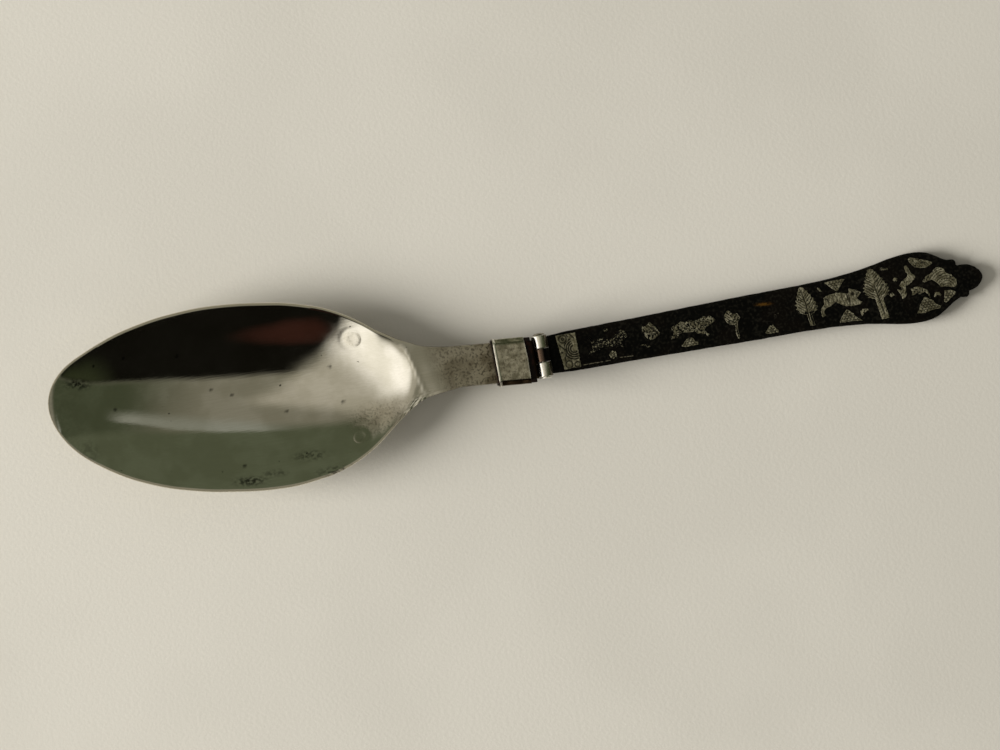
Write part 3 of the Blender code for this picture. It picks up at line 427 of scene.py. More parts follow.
def filled(loop: Array, inner: Array, holes: tuple[Array, ...] = ()) -> tuple:
    """Triangles that fill a flat outline through given inner points.

    Args:
        loop: The outline.
        inner: Points inside it.
        holes: More closed loops inside it, whose edges are kept too.

    Returns:
        The points as rows of two, and the triangles.
    """
    loops = (loop, *holes)
    sizes = np.cumsum([0] + [len(part) for part in loops])
    edges = np.concatenate([
        np.stack([np.arange(size), np.roll(np.arange(size), -1)], axis=-1) + start
        for start, size in zip(sizes, (len(part) for part in loops))
    ])
    points = np.concatenate([*loops, inner])
    vectors = [Vector(point) for point in points.tolist()]
    corners, _, faces, *_ = delaunay_2d_cdt(vectors, edges.tolist(), [], 1, 1e-6, False)
    flat, faces = np.array([tuple(corner) for corner in corners]), np.array(faces)
    return flat, faces[inside(flat[faces].mean(axis=1), loop)]


def lathe(profile: Array, steps: int = 48) -> Array:
    """A turned surface about Z: each profile point of radius and height goes round a circle.

    Args:
        profile: Rows of radius and height.
        steps: Points round the circle.

    Returns:
        The points, profile by steps by three.
    """
    angles = np.linspace(0, 2 * math.pi, steps, endpoint=False)
    radius, height = np.asarray(profile, float).T[:, :, None]
    return np.stack(np.broadcast_arrays(radius * np.cos(angles), radius * np.sin(angles), height), axis=-1)


def turned(points: Array, angle: float, first: int, second: int) -> Array:
    """Points turned by an angle from the first of two axes towards the second.

    Args:
        points: Points, with their axes last.
        angle: The turn, in radians.
        first: Number of the first axis.
        second: Number of the second axis.

    Returns:
        The turned points.
    """
    result = np.array(points, float)
    cos, sin = math.cos(angle), math.sin(angle)
    result[..., first] = points[..., first] * cos - points[..., second] * sin
    result[..., second] = points[..., first] * sin + points[..., second] * cos
    return result


@dataclass(frozen=True)
class Layout:
    """Where the hinge frame and the stem frame lie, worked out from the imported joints."""

    hinge: Array
    tilt: float
    yaw: float

    @classmethod
    def read(cls, joints: list[dict]) -> Layout:
        """Reads the hinge's place from the fold joint, and both turns from the collar's way of sliding.

        Args:
            joints: The frame's joints.

        Returns:
            The layout.
        """
        by_name = {joint["name"]: joint for joint in joints}
        along = by_name["collar_slide"]["axis"]
        tilt = math.atan2(-along[2], along[0])
        return cls(np.array(by_name["handle_fold"]["pos_m"]) / MM, tilt, math.asin(-along[1]))

    def from_hinge(self, points: Array) -> Array:
        """Places of hinge-frame points on the table: tilted about Y, then moved to the hinge."""
        return turned(points, -self.tilt, 0, 2) + self.hinge

    def to_hinge(self, points: Array) -> Array:
        """The way back from the table to the hinge frame."""
        return turned(points - self.hinge, self.tilt, 0, 2)

    def from_stem(self, points: Array) -> Array:
        """Places of stem-frame points on the table: turned aside by the yaw first."""
        return self.from_hinge(turned(points, -self.yaw, 0, 1))


# Finishes


def colour(code: str) -> tuple[float, float, float, float]:
    """The linear colour of an sRGB hex code.

    Args:
        code: The code, as #RRGGBB.

    Returns:
        Red, green, blue and full alpha.
    """
    parts = [int(code[at : at + 2], 16) / 255 for at in (1, 3, 5)]
    linear = [part / 12.92 if part <= 0.04045 else ((part + 0.055) / 1.055) ** 2.4 for part in parts]
    return (*linear, 1.0)


def feed(tree: bpy.types.NodeTree, socket: Socket, value: object) -> None:
    """Gives a socket another node's output, a colour code or a plain value.

    Args:
        tree: The node tree.
        socket: The socket to feed.
        value: What it gets.
    """
    if isinstance(value, Socket):
        tree.links.new(value, socket)
    else:
        socket.default_value = colour(value) if isinstance(value, str) else value


def add_node(tree: bpy.types.NodeTree, kind: str, inputs: dict, **settings: object) -> Socket:
    """Adds a node with its settings and links.

    Args:
        tree: The node tree.
        kind: The node's type.
        inputs: By socket name or number, a value, a colour code or another node's output.
        settings: The node's own settings.

    Returns:
        Its first output in use.
    """
    node = tree.nodes.new(kind)
    for key, value in settings.items():
        setattr(node, key, value)
    for key, value in inputs.items():
        named = [one for one in node.inputs if one.enabled and one.name == key]
        feed(tree, named[0] if named else node.inputs[key], value)
    return next(one for one in node.outputs if one.enabled)


@dataclass(frozen=True)
class Cover:
    """Where something lies on a piece, from 0 to its share.

    It lies everywhere, or where a mark on the mesh says, or in cloudy patches of a size in mm, or where both
    say. The patches are a noise, eased from 0 below its low value to 1 above its high one. Along, they are
    stretched. Where the mark feeds them, they grow with it.
    """

    share: float = 1.0
    mark: str = ""
    size: float = 0.0
    low: float = 0.4
    high: float = 0.6
    detail: float = 3.0
    along: bool = False
    feeds: bool = False

    def build(self, tree: bpy.types.NodeTree, place: tuple) -> Socket | float:
        """The share at each place, from the piece's plain and stretched coordinates.

        Args:
            tree: The node tree.
            place: Plain and stretched coordinates.

        Returns:
            The share, linked or plain.
        """
        value: Socket | float = self.share
        mark = None
        if self.mark:
            mark = add_node(tree, "ShaderNodeAttribute", {}, attribute_name=self.mark).node.outputs["Fac"]
        if self.size:
            noise = add_node(tree, "ShaderNodeTexNoise", {
                "Vector": place[self.along], "Scale": 1 / (self.size * MM), "Detail": self.detail,
            })
            if self.feeds:
                noise = add_node(tree, "ShaderNodeMath", {0: noise, 1: mark}, operation="ADD")
            value = add_node(tree, "ShaderNodeMapRange", {
                "Value": noise, "From Min": self.low, "From Max": self.high, "To Max": self.share,
            }, interpolation_type="SMOOTHSTEP")
        if mark is not None and not self.feeds:
            value = add_node(tree, "ShaderNodeMath", {0: value, 1: mark}, operation="MULTIPLY")
        return value


@dataclass(frozen=True)
class Finish:
    """A finish as data: a base colour, layers of colour on it, and where it is rougher, metallic or uneven.

    Slot is the record's slot. Bumps are covers with their height in mm, negative where they are sunk. Turn
    and stretch shape the stretched coordinates: their turn about Z, and how much longer patterns are along
    each axis.
    """

    slot: str
    name: str
    base: str
    layers: tuple[tuple[str, Cover], ...]
    rough: float
    metallic: float
    rougher: tuple[Cover, ...] = ()
    metals: tuple[Cover, ...] = ()
    bumps: tuple[tuple[Cover, float], ...] = ()
    specular: float = 0.5
    turn: float = 0.0
    stretch: tuple[float, float, float] = (1.0, 1.0, 1.0)

    @cache
    def material(self) -> bpy.types.Material:
        """The finish as a material, made once."""
        made = bpy.data.materials.new(self.name)
        made.use_nodes = True
        tree = made.node_tree
        plain = add_node(tree, "ShaderNodeTexCoord", {}).node.outputs["Object"]
        scale = tuple(1 / share for share in self.stretch)
        place = (plain, add_node(tree, "ShaderNodeMapping", {
            "Vector": plain, "Rotation": (0, 0, self.turn), "Scale": scale,
        }))
        values: dict = {"Base Color": self.base, "Specular IOR Level": self.specular}
        for code, cover in self.layers:
            values["Base Color"] = add_node(tree, "ShaderNodeMix", {
                "Factor": cover.build(tree, place), "A": values["Base Color"], "B": code,
            }, data_type="RGBA")
        sums = {"Roughness": (self.rough, self.rougher), "Metallic": (self.metallic, self.metals)}
        for key, (start, covers) in sums.items():
            values[key] = start
            for cover in covers:
                added = {0: values[key], 1: cover.build(tree, place)}
                values[key] = add_node(tree, "ShaderNodeMath", added, operation="ADD")
        for cover, height in self.bumps:
            inputs = {"Height": cover.build(tree, place), "Distance": abs(height) * MM, "Strength": 1.0}
            if "Normal" in values:
                inputs["Normal"] = values["Normal"]
            values["Normal"] = add_node(tree, "ShaderNodeBump", inputs, invert=height < 0)
        shader = tree.nodes["Principled BSDF"]
        for key, value in values.items():
            feed(tree, shader.inputs[key], value)
        return made


def tinned_polish() -> Finish:
    """Sheet metal, tinned by wiping and burnished by hand, then worn by washing.

    The eye gets broad clear reflections, fine lengthwise strokes, a pale rubbed rim, brown-grey oxide on the
    stub and a few dark pits and stains. Painted light is laid in too: painted shade in a patch before the
    crest and on the stub's end by the hinge, and a painted highlight along the crest.
    """
    strokes = Cover(0.16, size=0.3, low=0.35, high=0.65, detail=2, along=True)
    stroke_height = replace(strokes, share=1)
    mottle = Cover(0.8, "stub", 0.45, 0.5, 0.62, 5)
    stains = Cover(0.85, "stain", 0.7, 0.4, 0.6, 5)
    crust = Cover(0.2, "stain", 0.9, 0.45, 0.6, 5)
    return Finish(
        slot="tinned_metal", name="tinned_polish", base="#D9D5CA",
        layers=(
            ("#B9B5A4", Cover(0.5, size=7, high=0.62)), ("#B9B5A4", strokes),
            # The stub's oxide colours also paint a patch of shade on the bowl before the crest.
            ("#DAD4C4", Cover(1, "rim")), ("#A89D86", Cover(0.8, "stub")),
            ("#6A5F4B", Cover(0.7, "stub", 3.2, 0.42, 0.6, 4)), ("#453D2E", mottle),
            ("#2A271D", Cover(0.85, size=1.5, low=0.735, high=0.76, detail=2)), ("#1E1F17", stains),
            # The pit colour also paints shade on the stub's end by the hinge; the pale grit colour also
            # paints a highlight along the crest.
            ("#2A251B", Cover(0.8, "pit")), ("#E6E0D0", Cover(1, "grit")),
        ),
        rough=0.055, metallic=1.0,
        rougher=(
            Cover(0.03, size=2.4, low=0.35, high=0.65), Cover(0.22, "stub"), Cover(0.16, "rim"),
            crust,
        ),
        # Less metal on the crumbled edge, and along the crest, where it makes the painted highlight matt and
        # pale.
        metals=(Cover(-0.7, "grit"),),
        bumps=(
            (stroke_height, 0.0012), (replace(mottle, share=1), -0.012), (replace(crust, share=1), -0.006),
        ),
        turn=STEM_TURN, stretch=(22, 1, 1),
    )


def worn_silver(name: str, tarnish: float) -> Finish:
    """Silver sheet, cut and bent by hand, with tarnish that wear has cleared from its edges.

    The eye gets a soft broken shine, brown clouds, fine scratches across the collar, a bright rubbed lip, and
    painted light: painted highlights on the collar's rolled edge, the knuckles' lit sides and the pin's foot,
    a painted green reflection on the collar's far cut corner, and painted shade on its near cut corner, the
    knuckles' far sides, the pin's head and the strap's end by the hinge.

    Args:
        name: The material's name.
        tarnish: How much of the sheet is tarnished.

    Returns:
        The finish.
    """
    scratches = Cover(0.3, size=0.12, low=0.56, high=0.7, detail=2, along=True)
    specks = Cover(0.62 * tarnish, size=0.42, low=0.52, high=0.64, detail=4)
    return Finish(
        slot="silver", name=name, base="#CFC9B6",
        layers=(
            ("#8B8571", Cover(tarnish, size=1.1, high=0.62, detail=5)), ("#4A3D2A", specks),
            # The near-white layer paints highlights as well as rubbed wear, the green one a reflection, and
            # the dark brown one shade.
            ("#EFEADD", scratches), ("#FFFCF2", Cover(1, "rubbed")), ("#5F6249", Cover(1, "green")),
            ("#3A2D1E", Cover(1, "grime")),
        ),
        rough=0.2, metallic=1.0, rougher=(Cover(0.14 * tarnish, size=1.6, high=0.62, detail=5),),
        bumps=((scratches, -0.002), (specks, -0.006)),
        turn=STEM_TURN, stretch=(1, 9, 1),
    )


def oxidised_iron() -> Finish:
    """Wrought iron with a dark red-brown oxide. The eye gets a dull brown-black grain, warmer in patches."""
    grains = Cover(0.2, size=0.22, high=0.62)
    return Finish(
        slot="dark_iron", name="oxidised_iron", base="#060403",
        layers=(("#1E0C07", Cover(0.8, size=0.9, low=0.5, high=0.6, detail=5)), ("#241C16", grains)),
        rough=0.42, metallic=0.2, rougher=(grains,), bumps=((grains, 0.02),), specular=0.1,
    )


def blackened_iron() -> Finish:
    """Forged iron, blackened with oil over the fire, handled for a long time.

    The eye gets a deep black with hardly any shine, grey rubbed clouds, pits, a thin rust stain, thin silver
    left along one edge, and a knuckle rubbed to brown metal on its side towards the bowl, whose lighter
    colour is also a painted highlight.
    """
    silver = Cover(1, "silvered", 0.3, 1.0, 1.1, 5, feeds=True)
    pits = Cover(0.2, size=0.32, low=0.58, high=0.68)
    return Finish(
        slot="blackened_iron", name="oil_blackened_iron", base="#040403",
        layers=(
            ("#0D0906", Cover(0.5, size=6, low=0.45)), ("#2A2821", Cover(0.32, size=0.5, low=0.5, high=0.66)),
            ("#2A2822", Cover(0.2, "edge")), ("#4E3510", Cover(1, "rust", 0.5, 0.36, 0.52, 4)),
            # The last brown layer is bare metal on the knuckle, and its lighter colour also paints the
            # knuckle's highlight.
            ("#7A7563", silver), ("#6B594B", Cover(1, "bare")),
        ),
        rough=0.42, metallic=0.0, rougher=(pits, Cover(-0.2, "bare")),
        metals=(replace(silver, share=0.7), Cover(1, "bare")),
        bumps=((pits, -0.02),), specular=0.06,
    )


def hammered_inlay() -> Finish:
    """Silver foil, hammered into keyed iron and engraved.

    The eye gets dull grey silver with dark cut lines, small hammer flats, and black specks where it has worn
    through to the iron.
    """
    lost = Cover(1, "loss", 0.3, 0.94, 1.0, 5, feeds=True)
    return Finish(
        slot="inlaid_silver", name="hammered_inlay", base="#C4BEA4",
        layers=(
            ("#6F6A52", Cover(0.85, size=0.9, low=0.36, high=0.6, detail=4)),
            ("#5C5743", Cover(0.6, size=0.22, low=0.45, high=0.6, detail=2)),
            ("#100E0A", Cover(1, "groove")), ("#080706", lost),
        ),
        rough=0.4, metallic=0.8, rougher=(replace(lost, share=0.2),),
        bumps=((Cover(1, size=0.16, high=0.62, detail=2), 0.01), (lost, -0.02)),
    )


def backdrop_paper() -> Finish:
    """Matt studio paper, rolled out flat. The eye gets one warm pale grey with the faintest cloudiness."""
    return Finish(
        slot="", name="backdrop_paper", base="#D6D3CA", layers=(("#D2CFC6", Cover(1, size=60)),),
        rough=0.92, metallic=0.0, bumps=((Cover(1, size=0.7, low=0.3, high=0.7), 0.01),),
    )


# Sub-assemblies


@dataclass
class Heights:
    """Heights over the hinge axis, shared by the sub-assemblies, as the part is made."""

    knuckle_radius: float = 1.45
    handle_top: float = -2.25
    handle_back: float = -4.05
    stub_top: float = -2.0
    collar_top: float = 2.1
    collar_foot: float = -4.7


@dataclass
class Bowl:
    """The bowl with its neck and stub, one sheet of tinned metal."""

    layout: Layout
    heights: Heights
    hollow_length: float = 70.4
    stem_length: float = 24.2
    half_width: float = 17.9
    depth: float = 7.6
    long_steepness: float = 0.3
    cross_steepness: float = 0.1
    sheet: float = 0.8
    sway: float = 2.8
    rim: float = 0.45
    crest: float = 0.05
    crest_width: float = 1.1
    crest_station: float = 69.9
    crest_slant: float = 0.31
    dip_depth: float = 0.25
    rim_edge: float = 0.45
    rim_bulge: float = 0.22
    stub_half_width: float = 3.82
    stub_thickness: float = 1.0
    stub_end: float = -1.8
    unevenness: float = 0.014
    swell_length: float = 12
    row_lean: float = 0.45
    lane_lean: float = 0.3
    grit_height: float = 0.1
    grit_station: float = 69.3
    grit_reach: float = 4.2
    grit_width: float = 1.9
    # Painted shade: a dark patch on the bowl before the crest, laid on through the stub's oxide colours.
    heel_shade_share: float = 0.42
    heel_shade_place: tuple[float, float] = (63, -6.4)
    heel_shade_size: tuple[float, float] = (6.5, 3.4)
    rows: int = 260
    columns: int = 96
    tip_rows: int = 8
    width_stations: tuple = (
        0, 3.94, 8.03, 16.05, 24.0, 32.03, 38.02, 44.07, 52.03, 56.11, 60.05, 64.13, 68.08,
    )
    width_shares: tuple = (0, 0.437, 0.598, 0.811, 0.931, 0.989, 1.0, 0.986, 0.907, 0.826, 0.707, 0.54, 0.385)
    neck_stations: tuple = (72.19, 76.16, 79.11, 94.6)
    neck_shares: tuple = (1.28, 1.1, 1.02, 1.0)
    sway_stations: tuple = (0, 8.03, 19.85, 32.17, 44.49, 56.74, 62.44, 66.25, 70.96, 75.7, 79.5, 94.6)
    sway_shares: tuple = (0.34, 0.68, 0.82, 0.88, 1.0, 0.98, 0.9, 0.64, 0.36, 0.27, 0.18, 0.18)
    stain_spots: tuple = (
        (6, 4.5, 3.0, 1.3, 1), (7, -8.5, 2.5, 2.5, 0.3), (54.5, -15.5, 5.5, 1.3, 0.8), (49, -12, 4, 1.2, 0.7),
        (37, -16, 4, 1.1, 1), (42, -14.8, 3, 0.8, 0.6),
    )
    pits: tuple = (
        (35.2, -1.88), (56.2, -5.11), (12.7, -2.64), (45.4, -5.95), (36.3, -15.6), (54.3, 1.78),
        (31.3, -0.55),
    )
    pit_radius: float = 0.35
    seat_radius: float = 1.95
    seat_width: float = 1.5
    seat_depth: float = 0.024
    rivet_station: float = 58.9
    rivet_spread: float = 9.34
    finish: Finish = field(default_factory=tinned_polish)

    @property
    def reach(self) -> float:
        """Station of the hinge axis."""
        return self.hollow_length + self.stem_length

    @property
    def neck(self) -> tuple[float, float]:
        """Stations where the thin rim starts to thicken and where it is the full stub."""
        return 0.887 * self.hollow_length, self.hollow_length + 0.14 * self.stem_length

    def edge(self, station: Array) -> Array:
        """Half the outline's width. The squares of the widths are smoothed, so that the tip is round.

        Args:
            station: Distance from the bowl's tip along the stem.

        Returns:
            The half width.
        """
        stations = self.width_stations + self.neck_stations
        bowl = np.array(self.width_shares) * self.half_width
        neck = np.array(self.neck_shares) * self.stub_half_width
        return np.sqrt(smooth_curve(stations, np.append(bowl, neck) ** 2, station))

    def middle(self, station: Array) -> Array:
        """Where the outline's middle line lies across the stem."""
        return -self.sway * smooth_curve(self.sway_stations, self.sway_shares, station)

    def hollow(self, station: Array, across: Array, inset: float) -> Array:
        """Depth of the floor, from 0 at an edge set in by the inset to 1 at the deepest point.

        It is a long arch times a cross arch. Each arch is 1 less a parabola with a quartic's share, and the
        long one runs out softly at both ends.

        Args:
            station: Distance from the bowl's tip along the stem.
            across: Distance across the stem, to the far side.
            inset: How far the edge is set in.

        Returns:
            The share of the depth.
        """
        reach = np.maximum(self.edge(station) - inset, self.rim)
        side = np.clip(np.abs(across - self.middle(station)) / reach, 0, 1)
        length = self.hollow_length * (1 - 0.03 * side**2) - inset
        along = np.clip((station - inset) / length, 0, 1)
        arch = 1 - rise(2 * along - 1, self.long_steepness)
        soft = (np.sqrt(arch**2 + 0.01) - 0.1) / (math.sqrt(1.01) - 0.1)
        return soft * (1 - rise(side, self.cross_steepness))

    def top(self, station: Array, across: Array) -> Array:
        """Height of the upper surface."""
        return self.heights.stub_top - self.depth * self.hollow(station, across, self.rim)

    def underside(self, station: Array, across: Array) -> Array:
        """Height of the lower surface: a thin edge at the rim, full sheet at the belly and under the stub.

        Args:
            station: Distance from the bowl's tip along the stem.
            across: Distance across the stem, to the far side.

        Returns:
            The height.
        """
        start, end = self.neck
        edge = self.rim_edge + (self.stub_thickness - self.rim_edge) * ramp(station, start, end)
        full = self.depth + self.sheet - edge
        return self.heights.stub_top - edge - full * self.hollow(station, across, 0)

    def points(self, station: Array, across: Array, height: Array) -> Array:
        """Stem-frame points. Towards the hinge, rows turn until they run parallel to the pin.

        Args:
            station: Distance from the bowl's tip along the stem.
            across: Distance across the stem, to the far side.
            height: Height of each point.

        Returns:
            The points.
        """
        square = ramp(station, self.neck[0], self.reach)
        along = station - self.reach - square * across * math.tan(self.layout.yaw)
        return np.stack(np.broadcast_arrays(along, across, height), axis=-1)

    def build(self) -> bpy.types.Object:
        """The sheet as one wrapped grid: across the top, round the rim, and back along the underside."""
        share = np.linspace(0, 1, self.rows)
        end = self.reach + self.stub_end
        station = end * (self.row_lean * share**2 + (1 - self.row_lean) * share)[:, None]
        tip = np.arange(1, self.tip_rows)[:, None] / self.tip_rows
        station[1 : self.tip_rows] = station[self.tip_rows] * tip**2
        width = self.edge(station)
        rim = np.clip(1 - self.rim / np.maximum(width, self.rim), 0.5, 1)
        lanes = np.linspace(-1, 1, self.columns)
        lanes = ((1 - self.lane_lean) * lanes + self.lane_lean * np.sin(lanes * math.pi / 2)) * rim
        half = (1 + rim) / 2
        lanes = np.concatenate([-np.ones_like(rim), -half, lanes, half, np.ones_like(rim)], axis=1)
        across = self.middle(station) + lanes * width
        flat = np.stack(np.broadcast_arrays(station, across), axis=-1)
        smooth = ease((1 - np.abs(lanes)) * 8)
        uneven = ripple(flat, self.swell_length, Seed.BOWL_SWELL)
        uneven = uneven + 0.05 * ripple(flat, self.swell_length / 5, Seed.BOWL_BUCKLE)
        uneven = self.unevenness * uneven * smooth
        grit = self.grit(station, across)
        past = self.past_crest(station, across)
        top = self.top(station, across) + uneven + grit * self.grit_height * ripple(flat, 0.7, Seed.BOWL_GRIT)
        top = top - self.seats(station, across) - self.dip(past, across)
        top = top + self.crest * line(past, self.crest_width) * smooth
        bottom = self.underside(station, across) + uneven
        bulge = self.rim_edge * self.rim_bulge
        step = np.gradient(width[:, 0], station[:, 0])[:, None]
        outward = np.concatenate([-step, np.ones_like(step)], axis=1)
        outward /= np.linalg.norm(outward, axis=1, keepdims=True)
        side_station = station + bulge * outward[:, :1]
        rims = []
        for side in (1, -1):
            column = 0 if side < 0 else -1
            side_across = across[:, column][:, None] + side * bulge * outward[:, 1:]
            height = (top[:, column] + bottom[:, column])[:, None] / 2
            rims.append(self.points(side_station, side_across, height))
        upper = self.points(station, across, top)
        lower = self.points(station, across, bottom)
        grid = np.concatenate([upper, rims[0], lower[:, ::-1], rims[1]], axis=1)
        grid = self.layout.from_stem(grid)
        marks = self.marks(station, across, lanes, rim, grit)
        wide = {
            key: np.concatenate([value, value[:, -1:], value[:, ::-1], value[:, :1]], axis=1)
            for key, value in marks.items()
        }
        shell = Shell()
        shell.add_grid(grid, wrap=True, **wide)
        shell.add_cap(grid[-1], stub=1.0)
        return shell.make("bowl_sheet", "bowl_side", ("bowl",), self.finish)

    def grit(self, station: Array, across: Array) -> Array:
        """1 along the rough crumbled edge at the near side of the neck, 0 away from it.

        Args:
            station: Distance from the bowl's tip along the stem.
            across: Distance across the stem, to the far side.

        Returns:
            The share.
        """
        edge = self.edge(station) + (across - self.middle(station))
        along = ease(1 - np.abs(station - self.grit_station) / self.grit_reach)
        return along * ease(1 - edge / self.grit_width)

    def past_crest(self, station: Array, across: Array) -> Array:
        """Distance past the crest between hollow and stub, which runs slanted across the neck."""
        return station - self.crest_station + self.crest_slant * across

    def dip(self, past: Array, across: Array) -> Array:
        """Depth of the slight dip on both sides of the crest, which runs out towards the neck's far side."""
        lift = 0.4 * ramp(past, -4, 0) + 0.6 * ramp(past, -0.1, 3.7)
        return self.dip_depth * ramp(past, -16, -4) * (1 - lift) * (1 - ramp(across, -1, 7))

    def seats(self, station: Array, across: Array) -> Array:
        """Depth of the worn ring round each rivet head.

        Args:
            station: Distance from the bowl's tip along the stem.
            across: Distance across the stem, to the far side.

        Returns:
            The depth, added up over both rivets.
        """
        depth = 0
        for side in (-1, 1):
            place = self.middle(np.array(self.rivet_station)) + side * self.rivet_spread
            radius = np.hypot(station - self.rivet_station, across - place)
            depth = depth + self.seat_depth * line(radius - self.seat_radius, self.seat_width)
        return depth

    def marks(self, station: Array, across: Array, lanes: Array, rim: Array,
              grit: Array) -> dict[str, Array]:
        """Shares of rim, stub, stains and crumbled edge on the grid. They also carry painted light: painted
        shade in a patch before the crest and at the stub's end, and a painted highlight along the crest.

        Args:
            station: Distance from the bowl's tip along the stem.
            across: Distance across the stem, to the far side.
            lanes: Place across, from -1 to 1 at the edges.
            rim: Where the rim's band starts on that scale.
            grit: Share of the crumbled edge.

        Returns:
            The shares by name, each as large as the grid.
        """
        flat = np.stack(np.broadcast_arrays(station, across), axis=-1)
        inner = np.broadcast_to(rim, lanes.shape)
        on_rim = ease((np.abs(lanes) - inner) / np.maximum(1 - inner, 1e-3) * 2) * (1 - ramp(station, 66, 71))
        past = self.past_crest(station, across)
        aside = across - self.middle(station)
        # Painted shade: a dark patch before the crest, added into the stub's share, darkens the bowl there.
        heel_painted_shade = self.heel_shade_share * patch(station, aside, self.heel_shade_place, self.heel_shade_size, 1.3)
        stub = 0.65 * ramp(past, 2.4, 7) + 0.35 * ramp(station, 79, 86) + heel_painted_shade
        # Painted highlight: a bright line along the crest, which is added into the grit mark below.
        crest = line(past, 0.9) * ease((0.95 - np.abs(lanes)) / 0.2) * ease((6 - np.abs(across)) / 1.5)
        stain = 0.12 * ease(1 - station / 9)
        for s, t, along, wide, share in self.stain_spots:
            stain = stain + share * patch(station, aside, (s, t), (along, wide), 1.2)
        size = (self.pit_radius, self.pit_radius)
        pit = sum(patch(station, across, place, size, 1.4) for place in self.pits)
        # Painted shade: the stub's end inside the collar's mouth, next to the hinge, gets the pits' dark
        # colour.
        pit = pit + ramp(station - self.reach, -3.4, -2.4)
        # The grit mark holds the crumbled edge and also the painted highlight along the crest.
        crumbs_and_crest_highlight = grit * ease(ripple(flat, 0.6, Seed.BOWL_CRUMBS)) + 0.65 * crest
        return {
            "rim": on_rim, "stub": stub, "stain": np.clip(stain, 0, 1), "grit": np.clip(crumbs_and_crest_highlight, 0, 1),
            "pit": np.clip(pit, 0, 1),
        }


@dataclass
class BowlRivet:
    """A rivet through the bowl and a strap arm, with a flush ringed head and a domed tail."""

    bowl: Bowl
    side: int
    head_radius: float = 1.8
    head_height: float = 0.35
    proud: float = 0.035
    shank_radius: float = 0.8
    tail_radius: float = 1.5
    tail_height: float = 0.5
    arm_reach: float = 1.2
    head_rings: tuple = (
        (0, 0.5), (0.3, 0.45), (0.45, 0.75), (0.6, 1.0), (0.75, 0.8), (0.9, 0.3), (0.98, 0.05),
    )

    def build(self) -> bpy.types.Object:
        """Turns the rivet and sets it on the bowl's surface, along the surface's own normal."""
        bowl = self.bowl
        station = np.array(bowl.rivet_station)
        across = bowl.middle(station) + self.side * bowl.rivet_spread
        along, aside = slopes(bowl.top, station, across)
        normal = np.array([-along, -aside, 1.0])
        normal /= np.linalg.norm(normal)
        first = np.cross([0, 1, 0], normal)
        first /= np.linalg.norm(first)
        axes = np.stack([first, np.cross(normal, first), normal])
        top = bowl.top(station, across)
        grip = float(top - bowl.underside(station, across)) * normal[2] + self.arm_reach
        turn = np.linspace(0, math.pi / 2, 8)
        head = [(self.head_radius * r, self.proud * z) for r, z in self.head_rings]
        head += [(self.head_radius, 0), (self.head_radius, self.proud - self.head_height)]
        shank = [(self.shank_radius, self.proud - self.head_height), (self.shank_radius, -grip)]
        tail = [(self.tail_radius * math.cos(a), -grip - self.tail_height * math.sin(a)) for a in turn]
        surface = lathe(head + shank + tail) @ axes + bowl.points(station, across, top).reshape(3)
        shell = Shell()
        shell.add_grid(bowl.layout.from_stem(surface), wrap=True, stub=0.12)
        name = "bowl_rivet_left" if self.side > 0 else "bowl_rivet_right"
        return shell.make(f"{name}_head", "bowl_side", (name,), bowl.finish)


def bar_grid(outline: Array, low: float, high: float, fillet: float) -> Array:
    """A bar along Y with rounded ends, from its outline in X and Z.

    Args:
        outline: Closed outline, as rows of X and Z.
        low: Start along Y.
        high: End along Y.
        fillet: Radius of the rounding at both ends.

    Returns:
        Rows of loops: the outline drawn in along a quarter circle at each end.
    """
    turn = np.linspace(0, math.pi / 2, 5)
    inset = fillet * (1 - np.sin(turn))
    place = fillet * (1 - np.cos(turn))
    insets = np.concatenate([inset, inset[::-1]])
    places = np.concatenate([low + place, high - place[::-1]])
    loops = np.stack([grown(outline, -distance) for distance in insets])
    column = np.broadcast_to(places[:, None], loops.shape[:2])
    return np.stack([loops[..., 0], column, loops[..., 1]], axis=-1)


@dataclass
class HingeBarrel:
    """The knuckle shapes that the strap and the handle share."""

    heights: Heights
    length: float = 7.9
    middle_length: float = 2.6
    middle_offset: float = 0.14
    gap: float = 0.12
    lug_return: float = 0.2
    fillet: float = 0.14
    foot: float = 0.05

    def spans(self) -> tuple[tuple[float, float], ...]:
        """Where each knuckle lies along the barrel: the strap's two and the handle's one between them."""
        low = self.middle_offset - self.middle_length / 2
        high = self.middle_offset + self.middle_length / 2
        return (
            (-self.length / 2, low - self.gap / 2), (low + self.gap / 2, high - self.gap / 2),
            (high + self.gap / 2, self.length / 2),
        )

    def outline(self, side: int) -> Array:
        """Profile of a knuckle and its lug: three quarters of a circle that runs down into a straight lug.

        Args:
            side: 1 or -1, the way the lug points along X.

        Returns:
            Rows of X and Z.
        """
        radius = self.heights.knuckle_radius
        turn = math.asin(self.lug_return / radius)
        angles = np.linspace(math.pi, -math.pi / 2 + turn, 40)
        arc = radius * np.stack([np.cos(angles), np.sin(angles)], axis=-1)
        level = self.heights.handle_back + self.foot
        outline = np.concatenate([[(-radius, level)], arc, [(self.lug_return, level)]])
        return softened(resampled(outline * (-side, 1), 0.06), 2)


